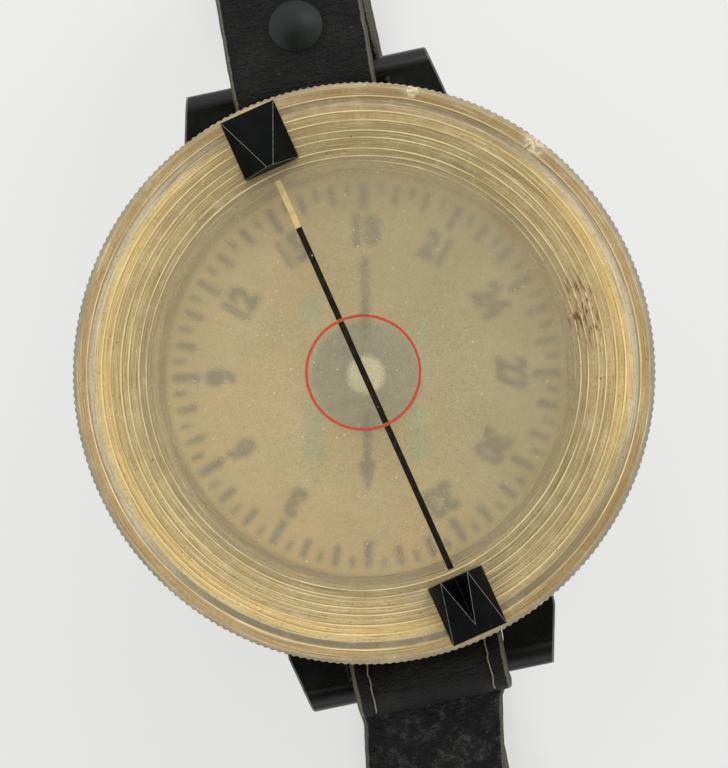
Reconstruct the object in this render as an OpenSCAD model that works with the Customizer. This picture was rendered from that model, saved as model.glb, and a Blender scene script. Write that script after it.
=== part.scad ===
/* [Base] */
// Spread of the base's side from its back to its rim
base_flare = 4; // [3:0.1:5]
// Reach of the base's rim past the bowl
base_step = 1.3; // [1:0.1:2]
// Height of the rim above the back
base_h = 6; // [5.6:0.1:6.6]
// Thickness of the base under the bowl
base_floor = 2.6; // [2.3:0.1:3]
// Wall of the base round the foot of the bowl
base_wall = 2.5; // [2:0.1:2.6]
// Chamfer at the edge of the back
back_chamfer = 0.7; // [0.3:0.1:1.2]

/* [Lugs and bars] */
// Reach of each bar's centre past the bezel
bar_past = 1.55; // [1:0.05:4]
// Height of each bar's centre above the back
bar_z = 3.85; // [3.5:0.05:4.1]
// Radius of each bar
bar_r = 1.65; // [1.5:0.05:1.8]
// Thickness of the lugs
lug_t = 3; // [2.4:0.1:3]
// Width of a lug's cheek beside the slot, at its tip
cheek_w = 4.6; // [3:0.05:5]
// Spread of each cheek from its tip to the lug's shoulder
lug_spread = 1.4; // [0.2:0.05:3]
// Distance of the lug's shoulder from the bar
lug_taper = 4.35; // [3.4:0.05:5]
// Room between the strap and the inner edge of its slot
slot_room = 0.55; // [0.4:0.05:0.8]
// Room between the strap and each end of its slot
slot_end_room = 0.3; // [0.3:0.05:1]

/* [Bowl] */
// Wall of the bowl
bowl_wall = 2.4; // [2:0.1:2.6]
// Floor of the bowl
bowl_floor = 2.5; // [2.2:0.1:2.8]
// Height of the bowl above the rim of the base
bowl_h = 10.6; // [10.2:0.1:12]
// Wall of the bowl beside its cover
cover_wall = 1.2; // [1:0.1:1.4]
// Thickness of the cover
cover_t = 1.8; // [1.4:0.1:2.2]
// Thickness of the gasket under the cover
gasket_t = 0.4; // [0.3:0.1:0.6]
// Radius of the wire of the bezel spring
spring_wire_r = 0.45; // [0.35:0.05:0.5]
// Height of the bezel spring above the rim of the base
spring_rise = 5; // [4:0.1:6]

/* [Fasteners of the case] */
// Distance of the base screws from the bowl's inner wall
screw_inset = 4.8; // [4:0.1:6]
// Number of base screws
screw_count = 4; // [3:1:6]
// Radius of a base screw
screw_r = 1; // [0.8:0.1:1.2]
// Radius of a base screw's head
screw_head_r = 1.9; // [1.6:0.1:2.2]
// Distance of the filler plug from the axis
plug_y = 11; // [9:0.5:12]
// Radius of the filler plug's stem
plug_r = 1.5; // [1.2:0.1:1.8]
// Radius of the filler plug's head
plug_head_r = 2.5; // [2.2:0.1:3]

/* [Card and pivot] */
// Gap between the card and the bowl
card_gap = 1; // [0.8:0.1:3]
// Thickness of the card
card_t = 0.4; // [0.3:0.1:0.6]
// Height of the pivot point above the floor of the bowl
pivot_h = 5; // [4.6:0.1:5.4]
// Radius of the pivot post
post_r = 1.2; // [1:0.1:1.6]
// Radius of the pivot needle
needle_r = 0.4; // [0.3:0.05:0.5]
// Radius of the pivot jewel
jewel_r = 1; // [0.9:0.05:1.2]
// Radius of the card's hub
hub_r = 2.2; // [1.8:0.1:2.6]
// Radius of the grey cap on the card
cap_r = 5.6; // [4:0.1:6]
// Radius of the pale dot at the centre
dot_r = 1.94; // [1.5:0.02:2.5]
// Distance of each magnet's middle from the axis
magnet_x = 5.4; // [5:0.1:7]
// Width of a magnet
magnet_w = 3; // [2:0.1:3.4]
// Length of a magnet
magnet_l = 18.5; // [14:0.5:22]
// Height of a magnet
magnet_t = 1.6; // [1.2:0.1:1.8]
// Turn of the card at rest, clockwise from the upper strap
card_turn = 11; // [0:1:359]

/* [Bezel] */
// Outer radius over the knurl
bezel_r = 30; // [29.6:0.1:30.5]
// Wall of the bezel round the bowl
bezel_wall = 5.6; // [5.4:0.1:6.2]
// Number of knurl teeth
knurl_count = 246; // [120:1:246]
// Depth of the knurl
knurl_depth = 0.25; // [0.15:0.05:0.35]
// Gap between the base rim and the bottom of the bezel
skirt_gap = 2.3; // [2:0.1:3]
// Thickness of the bezel over the bowl
lip_t = 2.2; // [2:0.1:2.8]
// Width of the outer flat band, with its chamfer
outer_band = 1.6; // [1.4:0.1:2]
// Width of the chamfer at the top edge
edge_chamfer = 0.4; // [0.3:0.05:0.6]
// Width of the groove inside the outer band
groove_w = 0.8; // [0.5:0.1:1]
// Depth of the groove
groove_d = 0.35; // [0.2:0.05:0.5]
// Width of the plain band inside the groove
plain_band = 1.2; // [0.8:0.1:1.5]
// Number of turned steps down to the window
step_count = 4; // [3:1:4]
// Height of a turned step
step_h = 0.12; // [0.06:0.01:0.15]
// Inset of the window from the bezel's bore
window_inset = 2.2; // [1.9:0.1:2.6]
// Width of the window's flange
flange_w = 0.7; // [0.4:0.1:0.8]
// Thickness of the window's flange
flange_t = 0.6; // [0.4:0.1:0.8]
// Turn of the bezel at rest, anticlockwise from the upper strap
bezel_turn = 12.3; // [0:0.1:359]

/* [Sights] */
// Width of a sight
sight_w = 5.9; // [4.5:0.1:7]
// Length of a sight along the radius
sight_l = 6.4; // [5:0.1:6.5]
// Distance of a sight's outer end from the bezel's rim
sight_rim = 0.65; // [0.65:0.05:1]
// Width of the front sight's ridge
front_ridge = 0.7; // [0.4:0.1:1.2]
// Height of a sight above the bezel
sight_h = 3.4; // [2.5:0.1:4.5]
// Depth of the slot that a sight sits in
sight_seat = 1; // [0.7:0.1:1.1]
// Radius of the peg under a sight
peg_r = 1.2; // [0.8:0.1:1.3]
// Length of the peg
peg_l = 2; // [1.2:0.1:2.5]
// Share of the rear sight's height under its notch
notch_floor = 0.17; // [0.1:0.01:0.4]
// Width of the sight line
line_w = 0.62; // [0.4:0.02:0.9]
// Depth of the engraving in the window
line_d = 0.3; // [0.2:0.05:0.5]
// Distance of the dark line's rear end from the window's edge
line_edge = 0.14; // [0.1:0.02:2]
// Distance of the luminous tip's front end from the window's edge
tip_edge = 0.55; // [0.3:0.05:2]
// Length of the luminous tip
tip_length = 5.35; // [3:0.05:8]
// Middle radius of the red ring
ring_r = 5.84; // [4:0.02:8]
// Width of the red ring
ring_w = 0.25; // [0.15:0.05:0.5]

/* [Straps] */
// Thickness of the leather
strap_t = 1.5; // [1.2:0.1:1.6]
// Half width of the straps in the lugs
strap_half = 8; // [7.2:0.1:8.4]
// Half width of the straps away from the lugs
strap_slim = 7.5; // [6.4:0.1:7.5]
// Distance past the bar at which the upper strap reaches its slim width
upper_slim = 26; // [20:0.5:27]
// Distance past the bar at which the lower strap reaches its slim width
lower_slim = 4; // [3.5:0.1:10]
// Room between a bar and the loop round it
loop_gap = 0.25; // [0.2:0.05:0.35]
// Height of the back above the table
stand_h = 40; // [38:0.5:48]
// Length of the level run before a strap curls
run_l = 11; // [10:0.5:13]
// Downward slope of the upper strap at its bar
upper_slope = 13; // [8:1:16]
// Downward slope of the lower strap at its bar
lower_slope = 15; // [12:1:18]
// Length of the flat part of the upper strap on the table
upper_flat = 11; // [10:0.5:13]
// Length of the raised end of the upper strap
upper_rise_l = 21; // [20:0.5:23]
// Slope of the raised end of the upper strap
upper_rise = 20; // [16:1:26]
// Length of the flat part of the lower strap on the table
lower_flat = 7.5; // [6.5:0.1:8]
// Slope of the raised end of the lower strap
lower_rise = 25; // [23:1:28]
// Number of buckle holes
hole_count = 4; // [2:1:4]
// Distance between buckle holes
hole_pitch = 5; // [4:0.1:5]
// Radius of a buckle hole
hole_r = 1.1; // [0.8:0.1:1.3]

/* [Strap hardware] */
// Distance of the stud from the bar, along the strap
stud_u = 5.8; // [5.6:0.1:7]
// Radius of the stud's domed cap
stud_cap_r = 2.85; // [2.2:0.05:3]
// Height of the stud's domed cap
stud_cap_h = 0.9; // [0.6:0.1:1.3]
// Radius of the stud's post
stud_post_r = 1; // [0.8:0.1:1.2]
// Height of the stud's collar between the leather layers
stud_collar_h = 1; // [0.8:0.1:1.2]
// Length of the upper strap's turned-back end past the stud
tail_past_stud = 3.6; // [3.2:0.1:4]
// Radius of the buckle's wire
wire_r = 1; // [0.8:0.05:1.1]
// Inner width of the buckle
buckle_w = 16.2; // [15.8:0.1:18]
// Distance between the buckle's two cross bars
buckle_l = 11.5; // [9.5:0.1:12]
// Radius of the buckle's corners at the middle of the wire
buckle_corner = 2; // [1.6:0.1:2.5]
// Width of the prong
prong_w = 1.6; // [1.2:0.1:2]
// Thickness of the prong
prong_t = 1.2; // [1:0.1:1.4]
// Reach of the prong past the front bar
prong_past = 1.5; // [1.2:0.1:2]
// Distance of the buckle rivet from the buckle's rear bar
rivet_u = 5; // [4.8:0.1:5.4]
// Radius of the buckle rivet's heads
rivet_head_r = 1.9; // [1.5:0.1:2.1]
// Height of the buckle rivet's heads
rivet_head_h = 0.5; // [0.4:0.1:0.7]
// Length of the keeper along the strap
keeper_l = 6; // [5:0.1:6.4]
// Thickness of the keeper's leather
keeper_t = 1; // [0.8:0.1:1.2]
// Distance of the keeper's middle from the table end of the raised run
keeper_s = 12; // [11.5:0.1:13]

/* [Hidden] */
$fn = 96;

// Clearances
fit_gap = 0.05;
seat_gap = 0.1;
run_gap = 0.2;
lift_gap = 0.3;
cut = 1;

// Radii and heights of the case
bore_r = bezel_r - bezel_wall;
bowl_r = bore_r - run_gap;
base_rim_r = bowl_r + base_step;
base_back_r = base_rim_r - base_flare;
recess_r = base_rim_r - base_wall;
foot_r = recess_r - run_gap;
foot_z = base_floor + seat_gap;
floor_z = foot_z + bowl_floor;
bowl_in = bowl_r - bowl_wall;
bowl_top = base_h + bowl_h;
cover_r = bowl_r - cover_wall - seat_gap;
cover_top = bowl_top - run_gap;
cover_z = cover_top - cover_t;
gasket_z = cover_z - gasket_t;
spring_z = base_h + spring_rise;
spring_r = (bowl_r + bore_r) / 2;
groove_half = spring_wire_r + seat_gap;
screw_circle = bowl_in - screw_inset;

// Sizes of the card
card_r = bowl_in - card_gap;
pivot_z = floor_z + pivot_h;
post_flange_w = 1.8;
post_flange_r = post_r + post_flange_w;
post_flange_t = 0.7;
post_bed = 0.75;
post_sink = bowl_floor - post_bed;
needle_out = 1.6;
post_top = pivot_z - needle_out;
needle_sink = 1.2;
needle_point = 1;
jewel_t = 0.9;
jewel_cone = 0.55;
jewel_z = pivot_z + fit_gap - jewel_cone;
hub_z = jewel_z - lift_gap;
card_rise = 1;
card_z = pivot_z + card_rise;
cap_t = 0.4;
dot_t = 0.2;

// Sizes of the bezel and sights
window_r = bore_r - window_inset;
bezel_z = base_h + skirt_gap;
lip_z = bowl_top + lift_gap;
ring_top = lip_z + lip_t;
root_r = bezel_r - knurl_depth;
wall_r = root_r - fit_gap;
skirt_chamfer = 1.2;
knurl_z = bezel_z + skirt_chamfer + seat_gap;
knurl_top = ring_top - edge_chamfer - lift_gap;
groove_out = bezel_r - outer_band;
groove_in = groove_out - groove_w;
steps_out = groove_in - plain_band;
window_top = ring_top - step_count * step_h;
pane_r = window_r + fit_gap;
sill_w = 0.27;
step_w = (steps_out - pane_r - sill_w) / step_count;
flange_r = window_r + flange_w;
flange_top = lip_z + flange_t;
sight_floor = ring_top - sight_seat;
sight_out = bezel_r - sight_rim;
sight_in = sight_out - sight_l;
sight_mid = (sight_in + sight_out) / 2;
sight_half = sight_w / 2;
line_rear = window_r - line_edge;
tip_reach = window_r - tip_edge;
line_front = tip_reach - tip_length;

// Strap geometry, in the plane of the compass axis and the straps
bar_y = bezel_r + bar_past;
loop_r = bar_r + loop_gap + strap_t / 2;
slot_y = bar_y - loop_r - strap_t / 2 - slot_room;
slot_half = strap_half + slot_end_room;
lug_tip = slot_half + cheek_w;
lug_root = lug_tip + lug_spread;
lug_shoulder = bar_y - lug_taper;
lug_end = bar_y + bar_r;
cheek_slope = lug_spread / (lug_end - lug_shoulder);
table_z = -stand_h + strap_t / 2;
bar_at = [bar_y, bar_z];
arc_steps = 22;
loop_steps = 20;
bend_room = 0.3;
stud_washer_r = 2 * stud_post_r;
seam_gap = 0.35;
washer_t = 0.3;
tip_l = 9;
hole_first = 2;

function heading(a) = [cos(a), sin(a)];
function placed(p, at, a) = at + [p.x * cos(a) - p.y * sin(a), p.x * sin(a) + p.y * cos(a)];
function flipped(p) = [for (i = [len(p) - 1:-1:0]) p[i]];
function arc(c, r, from, to, n) = [for (i = [0:n]) c + r * heading(from + (to - from) * i / n)];
function left_of(p, q) = let (d = (q - p) / norm(q - p)) [-d.y, d.x];
function side(p, h) = let (n = len(p) - 1) [
    for (i = [0:n])
        let (a = left_of(p[max(i - 1, 0)], p[max(i, 1)]))
        let (b = left_of(p[min(i, n - 1)], p[min(i + 1, n)]))
        p[i] + h * (a + b) / (1 + a * b)];
function ribbon(p) = concat(side(p, strap_t / 2), flipped(side(p, -strap_t / 2)));

// A loop round a bar with its end turned back under the strap, from that end to the bar's far side
function turned_end(r, fastener, reach, collar, end) =
    let (bend = [fastener - reach - bend_room, r - strap_t - collar])
    let (touch = atan2(bend.y, bend.x) - acos(r / norm(bend)))
    concat([[end, bend.y], bend], arc([0, 0], r, touch + 360, 90, loop_steps));

// The curl of a strap from the end of its level run down to the table
function curl_r(p, slope) = (p.y - table_z) / (1 + cos(slope));
function curl_c(p, slope) = p + curl_r(p, slope) * [-sin(slope), -cos(slope)];
function curl(p, slope) = arc(curl_c(p, slope), curl_r(p, slope), 90 - slope, -90, arc_steps);

stud_tail = stud_u + tail_past_stud;
upper_end = placed([run_l, loop_r], bar_at, -upper_slope);
upper_touch = curl_c(upper_end, upper_slope).x;
upper_lift = [upper_touch - upper_flat, table_z];
stud_end = turned_end(loop_r, stud_u, stud_washer_r, stud_collar_h, stud_tail);
upper_path = concat(
    [for (p = stud_end) placed(p, bar_at, -upper_slope)],
    curl(upper_end, upper_slope),
    [upper_lift, upper_lift + upper_rise_l * heading(180 - upper_rise)]);

buckle_loop_r = wire_r + run_gap + strap_t / 2;
rivet_collar_h = 0.3;
rivet_post_r = 0.8;
rivet_edge = 0.5;
rivet_tail = rivet_u + rivet_head_r + rivet_edge;
keeper_travel = 2.5;
keeper_room = 0.6;
lower_rise_l = keeper_s + keeper_travel + keeper_l / 2 + rivet_tail + keeper_room;
lower_end = placed([run_l, -loop_r], bar_at, -lower_slope);
lower_touch = curl_c(lower_end, lower_slope).x;
lower_lift = [lower_touch - lower_flat, table_z];
buckle_touch = lower_lift + lower_rise_l * heading(180 - lower_rise);
buckle_at = buckle_touch + buckle_loop_r * heading(90 - lower_rise);
lower_loop = concat([[loop_r, -loop_r + strap_t / 2 + seam_gap]], arc([0, 0], loop_r, 0, 270, loop_steps));
buckle_end = flipped(turned_end(buckle_loop_r, rivet_u, rivet_head_r, rivet_collar_h, rivet_tail));
lower_path = concat(
    [for (p = lower_loop) placed(p, bar_at, -lower_slope)],
    curl(lower_end, lower_slope),
    [lower_lift],
    [for (p = buckle_end) placed([p.x, -p.y], buckle_at, -lower_rise)]);
prong_slot_half = prong_w / 2 + run_gap;
prong_ring_r = wire_r + seat_gap + prong_t;
prong_slot_l = 2 * buckle_loop_r;

// Case
module base() {
    color("#1e201d")
        difference() {
            union() {
                slotted_base();
                strap_bar(bar_y);
                strap_bar(-bar_y);
            }
            for (x = [0, 1], y = [0, 1])
                mirror([x, 0, 0]) mirror([0, y, 0]) cheek_cut();
        }
}

module slotted_base() {
    difference() {
        union() {
            rotate_extrude()
                polygon([[0, 0], [base_back_r - back_chamfer, 0], [base_back_r, back_chamfer],
                    [base_rim_r, base_h], [0, base_h]]);
            translate([-lug_root, -bar_y, bar_z - lug_t / 2]) cube([2 * lug_root, 2 * bar_y, lug_t]);
        }
        translate([0, 0, base_floor]) cylinder(r = recess_r, h = base_h);
        at_screws() base_screw_hole();
        translate([0, -plug_y, -cut]) cylinder(r = plug_head_r + run_gap, h = base_h);
        strap_slot();
        mirror([0, 1, 0]) strap_slot();
    }
}

// The wedge outside a lug's cheek, from its shoulder past its tip
module cheek_cut() {
    linear_extrude(2 * bar_z)
        polygon([[lug_root, lug_shoulder], [lug_root + cut, lug_shoulder], [lug_root + cut, lug_end + cut],
            [lug_tip - cheek_slope * cut, lug_end + cut]]);
}

module strap_slot() {
    translate([-slot_half, slot_y, -cut]) cube([2 * slot_half, bar_y - slot_y + cut, base_h + 2 * cut]);
}

module strap_bar(y) {
    translate([-lug_root, y, bar_z]) rotate([0, 90, 0]) cylinder(r = bar_r, h = 2 * lug_root);
}

module at_screws() {
    for (i = [0:screw_count - 1])
        rotate([0, 0, (i + 0.5) * 360 / screw_count])
            translate([screw_circle, 0, 0])
                children();
}

module base_screw_hole() {
    translate([0, 0, -cut]) cylinder(r = screw_r + fit_gap, h = base_h);
    translate([0, 0, -fit_gap])
        cylinder(r1 = screw_head_r + fit_gap, r2 = screw_r + fit_gap, h = screw_head_r - screw_r + fit_gap);
}

module base_screws() {
    head_h = screw_head_r - screw_r - run_gap;
    color("#8f8a78")
        at_screws()
            difference() {
                union() {
                    translate([0, 0, run_gap])
                        cylinder(r1 = screw_head_r - run_gap, r2 = screw_r, h = head_h);
                    translate([0, 0, run_gap]) cylinder(r = screw_r, h = floor_z - 2 * lift_gap - run_gap);
                }
                translate([-screw_head_r, -run_gap, -cut])
                    cube([2 * screw_head_r, 2 * run_gap, cut + 2 * run_gap]);
            }
}

module bowl() {
    color("#c9b078")
        difference() {
            rotate_extrude()
                polygon([[0, foot_z], [foot_r, foot_z], [foot_r, base_h], [bowl_r, base_h],
                    [bowl_r, spring_z - groove_half], [spring_r - groove_half, spring_z - groove_half],
                    [spring_r - groove_half, spring_z + groove_half], [bowl_r, spring_z + groove_half],
                    [bowl_r, bowl_top], [cover_r + seat_gap, bowl_top], [cover_r + seat_gap, gasket_z],
                    [bowl_in, gasket_z], [bowl_in, floor_z], [0, floor_z]]);
            at_screws()
                translate([0, 0, foot_z - cut])
                    cylinder(r = screw_r + fit_gap, h = floor_z - foot_z + cut - lift_gap);
            translate([0, -plug_y, foot_z - cut]) cylinder(r = plug_r + fit_gap, h = bowl_floor + 2 * cut);
            translate([0, 0, floor_z - post_sink]) cylinder(r = post_r + fit_gap, h = post_sink + cut);
        }
}

module bowl_cover() {
    color("#d6c08c")
        translate([0, 0, cover_z]) cylinder(r = cover_r, h = cover_t);
}

module cover_gasket() {
    color("#3a3630")
        translate([0, 0, gasket_z])
            difference() {
                cylinder(r = cover_r - seat_gap, h = gasket_t);
                translate([0, 0, -cut]) cylinder(r = bowl_in + seat_gap, h = gasket_t + 2 * cut);
            }
}

module filler_plug() {
    color("#b08d4a")
        translate([0, -plug_y, 0])
            difference() {
                union() {
                    translate([0, 0, back_chamfer])
                        cylinder(r = plug_head_r, h = foot_z - washer_t - back_chamfer);
                    translate([0, 0, back_chamfer])
                        cylinder(r = plug_r, h = floor_z - lift_gap - back_chamfer);
                }
                translate([-plug_head_r - cut, -lift_gap, back_chamfer - cut])
                    cube([2 * plug_head_r + 2 * cut, 2 * lift_gap, cut + lift_gap]);
            }
}

module filler_washer() {
    color("#4a2f24")
        translate([0, -plug_y, foot_z - washer_t])
            difference() {
                cylinder(r = plug_head_r, h = washer_t);
                translate([0, 0, -cut]) cylinder(r = plug_r + fit_gap, h = washer_t + 2 * cut);
            }
}

module pivot_post() {
    color("#b8944e")
        difference() {
            union() {
                translate([0, 0, floor_z - post_sink])
                    cylinder(r = post_r, h = post_top - floor_z + post_sink);
                translate([0, 0, floor_z]) cylinder(r = post_flange_r, h = post_flange_t);
            }
            translate([0, 0, post_top - needle_sink]) cylinder(r = needle_r + fit_gap, h = needle_sink + cut);
        }
}

module pivot_needle() {
    color("#b9bcc0") {
        translate([0, 0, post_top - needle_sink])
            cylinder(r = needle_r, h = pivot_z - needle_point - post_top + needle_sink);
        translate([0, 0, pivot_z - needle_point]) cylinder(r1 = needle_r, r2 = 0, h = needle_point);
    }
}

module bezel_spring() {
    color("#9aa0a4")
        translate([0, 0, spring_z])
            rotate_extrude(angle = 330)
                translate([spring_r, 0])
                    circle(r = spring_wire_r, $fn = 24);
}

// Card
module card_disc() {
    color("#cdbf95")
        translate([0, 0, card_z]) cylinder(r = card_r, h = card_t);
}

module card_hub() {
    color("#b8944e")
        difference() {
            translate([0, 0, hub_z]) cylinder(r = hub_r, h = card_z - hub_z);
            translate([0, 0, hub_z - cut])
                cylinder(r = jewel_r + fit_gap / 2, h = jewel_z + jewel_t - hub_z + cut);
        }
}

module pivot_jewel() {
    color("#a02040")
        difference() {
            translate([0, 0, jewel_z]) cylinder(r = jewel_r, h = jewel_t);
            translate([0, 0, jewel_z - jewel_cone])
                cylinder(r1 = 2 * jewel_cone, r2 = 0, h = 2 * jewel_cone);
        }
}

module card_magnets() {
    color("#5d6a72")
        rotate([0, 0, -card_turn])
            for (x = [-magnet_x, magnet_x])
                translate([x - magnet_w / 2, -magnet_l / 2, card_z - magnet_t])
                    cube([magnet_w, magnet_l, magnet_t]);
}

module hub_cap() {
    color("#94937f")
        translate([0, 0, card_z + card_t]) cylinder(r = cap_r, h = cap_t);
}

module centre_dot() {
    color("#cfcba8")
        translate([0, 0, card_z + card_t + cap_t]) cylinder(r = dot_r, h = dot_t);
}

// Bezel
function knurl_point(i) = (i % 2 == 0 ? bezel_r : root_r) * heading(180 * i / knurl_count);

function step_points() = [
    for (i = [0:step_count - 1], end = [0, 1])
        [steps_out - (i + end) * step_w, ring_top - (i + 1) * step_h]];

module bezel_ring() {
    color("#cdb67c")
        rotate([0, 0, bezel_turn])
            difference() {
                union() {
                    rotate_extrude() bezel_section();
                    translate([0, 0, knurl_z]) linear_extrude(knurl_top - knurl_z) knurl_band();
                }
                sight_slot();
                rotate([0, 0, 180]) sight_slot();
            }
}

module bezel_section() {
    polygon(concat(
        [[bore_r, bezel_z], [wall_r - skirt_chamfer, bezel_z], [wall_r, bezel_z + skirt_chamfer],
            [wall_r, ring_top - edge_chamfer], [wall_r - edge_chamfer, ring_top], [groove_out, ring_top],
            [groove_out, ring_top - groove_d], [groove_in, ring_top - groove_d], [groove_in, ring_top],
            [steps_out, ring_top]],
        step_points(),
        [[pane_r, window_top], [pane_r, flange_top + fit_gap],
            [flange_r + seat_gap, flange_top + fit_gap], [flange_r + seat_gap, lip_z], [bore_r, lip_z],
            [bore_r, spring_z + groove_half], [spring_r + groove_half, spring_z + groove_half],
            [spring_r + groove_half, spring_z - groove_half], [bore_r, spring_z - groove_half]]));
}

module knurl_band() {
    difference() {
        polygon([for (i = [0:2 * knurl_count - 1]) knurl_point(i)]);
        circle(r = groove_in);
    }
}

module sight_slot() {
    translate([-sight_half - fit_gap, window_r / 2, sight_floor])
        cube([sight_w + 2 * fit_gap, sight_out + fit_gap - window_r / 2, ring_top]);
    translate([0, sight_mid, sight_floor - peg_l - seat_gap])
        cylinder(r = peg_r + fit_gap, h = peg_l + seat_gap + cut);
}

module window() {
    color("#d8c48e")
        rotate([0, 0, bezel_turn])
            difference() {
                union() {
                    translate([0, 0, lip_z]) cylinder(r = window_r, h = window_top - lip_z);
                    translate([0, 0, lip_z]) cylinder(r = flange_r, h = flange_t);
                }
                engraving(-line_rear - fit_gap, tip_reach + fit_gap, fit_gap);
                translate([0, 0, window_top - line_d]) ring_band(fit_gap, line_d + cut);
            }
}

module engraving(from, to, gap) {
    translate([-line_w / 2 - gap, from, window_top - line_d])
        cube([line_w + 2 * gap, to - from, line_d + cut]);
}

module ring_band(gap, h) {
    difference() {
        cylinder(r = ring_r + ring_w / 2 + gap, h = h);
        translate([0, 0, -cut]) cylinder(r = ring_r - ring_w / 2 - gap, h = h + 2 * cut);
    }
}

module inlay(from, to) {
    translate([-line_w / 2, from, window_top - line_d]) cube([line_w, to - from, line_d]);
}

module sight_line() {
    color("#151615")
        rotate([0, 0, bezel_turn])
            difference() {
                inlay(-line_rear, line_front);
                translate([0, 0, window_top - line_d - cut]) ring_band(fit_gap, line_d + 2 * cut);
            }
}

module sight_line_tip() {
    color("#c9ae72")
        rotate([0, 0, bezel_turn]) inlay(line_front, tip_reach);
}

module centre_ring() {
    color("#d8251f")
        translate([0, 0, window_top - line_d]) ring_band(0, line_d);
}

// Sights, each drawn towards the upper strap with its low end outwards
module sight_blank() {
    rotate([90, 0, 90])
        translate([0, 0, -sight_half])
            linear_extrude(sight_w)
                polygon([[sight_in, sight_floor], [sight_out, sight_floor], [sight_out, ring_top],
                    [sight_in, ring_top + sight_h]]);
}

module sight_roof(ridge_half) {
    eave = ring_top - cut * sight_h / (sight_half - ridge_half);
    translate([0, sight_out + cut, 0])
        rotate([90, 0, 0])
            linear_extrude(sight_out - sight_in + 2 * cut)
                polygon(
                    [[-sight_half - cut, sight_floor - cut], [sight_half + cut, sight_floor - cut],
                        [sight_half + cut, eave], [ridge_half, ring_top + sight_h],
                        [-ridge_half, ring_top + sight_h], [-sight_half - cut, eave]]);
}

module sight_peg() {
    translate([0, sight_mid, sight_floor - peg_l]) cylinder(r = peg_r, h = peg_l + sight_seat / 2);
}

module front_sight() {
    color("#141615")
        rotate([0, 0, bezel_turn]) {
            intersection() {
                sight_blank();
                sight_roof(front_ridge / 2);
            }
            sight_peg();
        }
}

module rear_sight() {
    color("#141615")
        rotate([0, 0, bezel_turn + 180]) {
            difference() {
                intersection() {
                    sight_blank();
                    sight_roof(sight_half / 2);
                }
                sight_notch();
            }
            sight_peg();
        }
}

module sight_notch() {
    low = ring_top + notch_floor * sight_h;
    spread = sight_half / 2 / (1 - notch_floor);
    translate([0, sight_out + cut, 0])
        rotate([90, 0, 0])
            linear_extrude(sight_out - sight_in + 2 * cut)
                polygon([[0, low], [spread, low + sight_h], [-spread, low + sight_h]]);
}

// Straps
module side_cut(path) {
    rotate([90, 0, 90])
        translate([0, 0, -strap_half])
            linear_extrude(2 * strap_half)
                polygon(ribbon(path));
}

module at_bar(slope) {
    translate([0, bar_y, bar_z]) rotate([-slope, 0, 0]) children();
}

// Plan of a strap above the middle of its curl: wide in the lugs, slim further out
module upper_plan(slim_y) {
    middle = -stand_h / 2;
    translate([0, 0, middle])
        linear_extrude(stand_h)
            polygon([[-strap_half, 0], [-strap_half, bar_y + loop_r], [-strap_slim, slim_y],
                [-strap_slim, 3 * bar_y], [strap_slim, 3 * bar_y], [strap_slim, slim_y],
                [strap_half, bar_y + loop_r], [strap_half, 0]]);
}

module lower_plan(tip_y, tip_half) {
    middle = -stand_h / 2;
    translate([0, 0, middle - stand_h])
        linear_extrude(stand_h)
            polygon([[-tip_half, tip_y], [-strap_slim, tip_y + tip_l], [-strap_slim, 3 * bar_y],
                [strap_slim, 3 * bar_y], [strap_slim, tip_y + tip_l], [tip_half, tip_y]]);
}

module upper_strap() {
    color("#282926")
        difference() {
            intersection() {
                side_cut(upper_path);
                union() {
                    upper_plan(bar_y + upper_slim);
                    lower_plan(upper_lift.x - upper_rise_l * cos(upper_rise) - strap_t, strap_slim / 3);
                }
            }
            translate([0, upper_lift.x, upper_lift.y])
                rotate([-upper_rise, 0, 0])
                    for (i = [0:hole_count - 1])
                        translate([0, -hole_first - hole_pitch * i, -strap_t])
                            cylinder(r = hole_r, h = 2 * strap_t);
            at_bar(upper_slope)
                translate([0, stud_u, -loop_r - strap_t])
                    cylinder(r = stud_post_r + fit_gap, h = 2 * loop_r + 2 * strap_t);
        }
}

module strap_stud() {
    cap_z = loop_r + strap_t / 2 + fit_gap;
    tail_z = loop_r - strap_t / 2 - stud_collar_h - strap_t;
    dome_r = (stud_cap_r * stud_cap_r + stud_cap_h * stud_cap_h) / (2 * stud_cap_h);
    color("#1b1c1b")
        at_bar(upper_slope)
            translate([0, stud_u, 0]) {
                intersection() {
                    translate([0, 0, cap_z + stud_cap_h - dome_r]) sphere(r = dome_r);
                    translate([0, 0, cap_z]) cylinder(r = 2 * stud_cap_r, h = dome_r);
                }
                translate([0, 0, tail_z - washer_t - fit_gap])
                    cylinder(r = stud_post_r, h = cap_z + stud_cap_h / 2 - tail_z + washer_t + fit_gap);
                translate([0, 0, loop_r - strap_t / 2 - stud_collar_h + fit_gap])
                    cylinder(r = stud_post_r + strap_t / 2, h = stud_collar_h - 2 * fit_gap);
            }
}

module stud_washer() {
    tail_z = loop_r - strap_t / 2 - stud_collar_h - strap_t;
    color("#8a7a4c")
        at_bar(upper_slope)
            translate([0, stud_u, tail_z - washer_t - fit_gap])
                difference() {
                    cylinder(r = stud_washer_r, h = washer_t);
                    translate([0, 0, -cut]) cylinder(r = stud_post_r + fit_gap / 2, h = washer_t + 2 * cut);
                }
}

module lower_strap() {
    color("#212322")
        mirror([0, 1, 0])
            difference() {
                intersection() {
                    side_cut(lower_path);
                    union() {
                        upper_plan(bar_y + lower_slim);
                        lower_plan(buckle_at.x - 2 * tip_l, strap_slim);
                    }
                }
                at_buckle() {
                    translate([-prong_slot_half, -prong_slot_l, -2 * buckle_loop_r])
                        cube([2 * prong_slot_half, prong_slot_l + prong_ring_r + run_gap, 4 * buckle_loop_r]);
                    translate([0, rivet_u, -2 * buckle_loop_r])
                        cylinder(r = rivet_post_r + fit_gap, h = 4 * buckle_loop_r);
                }
            }
}

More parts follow.
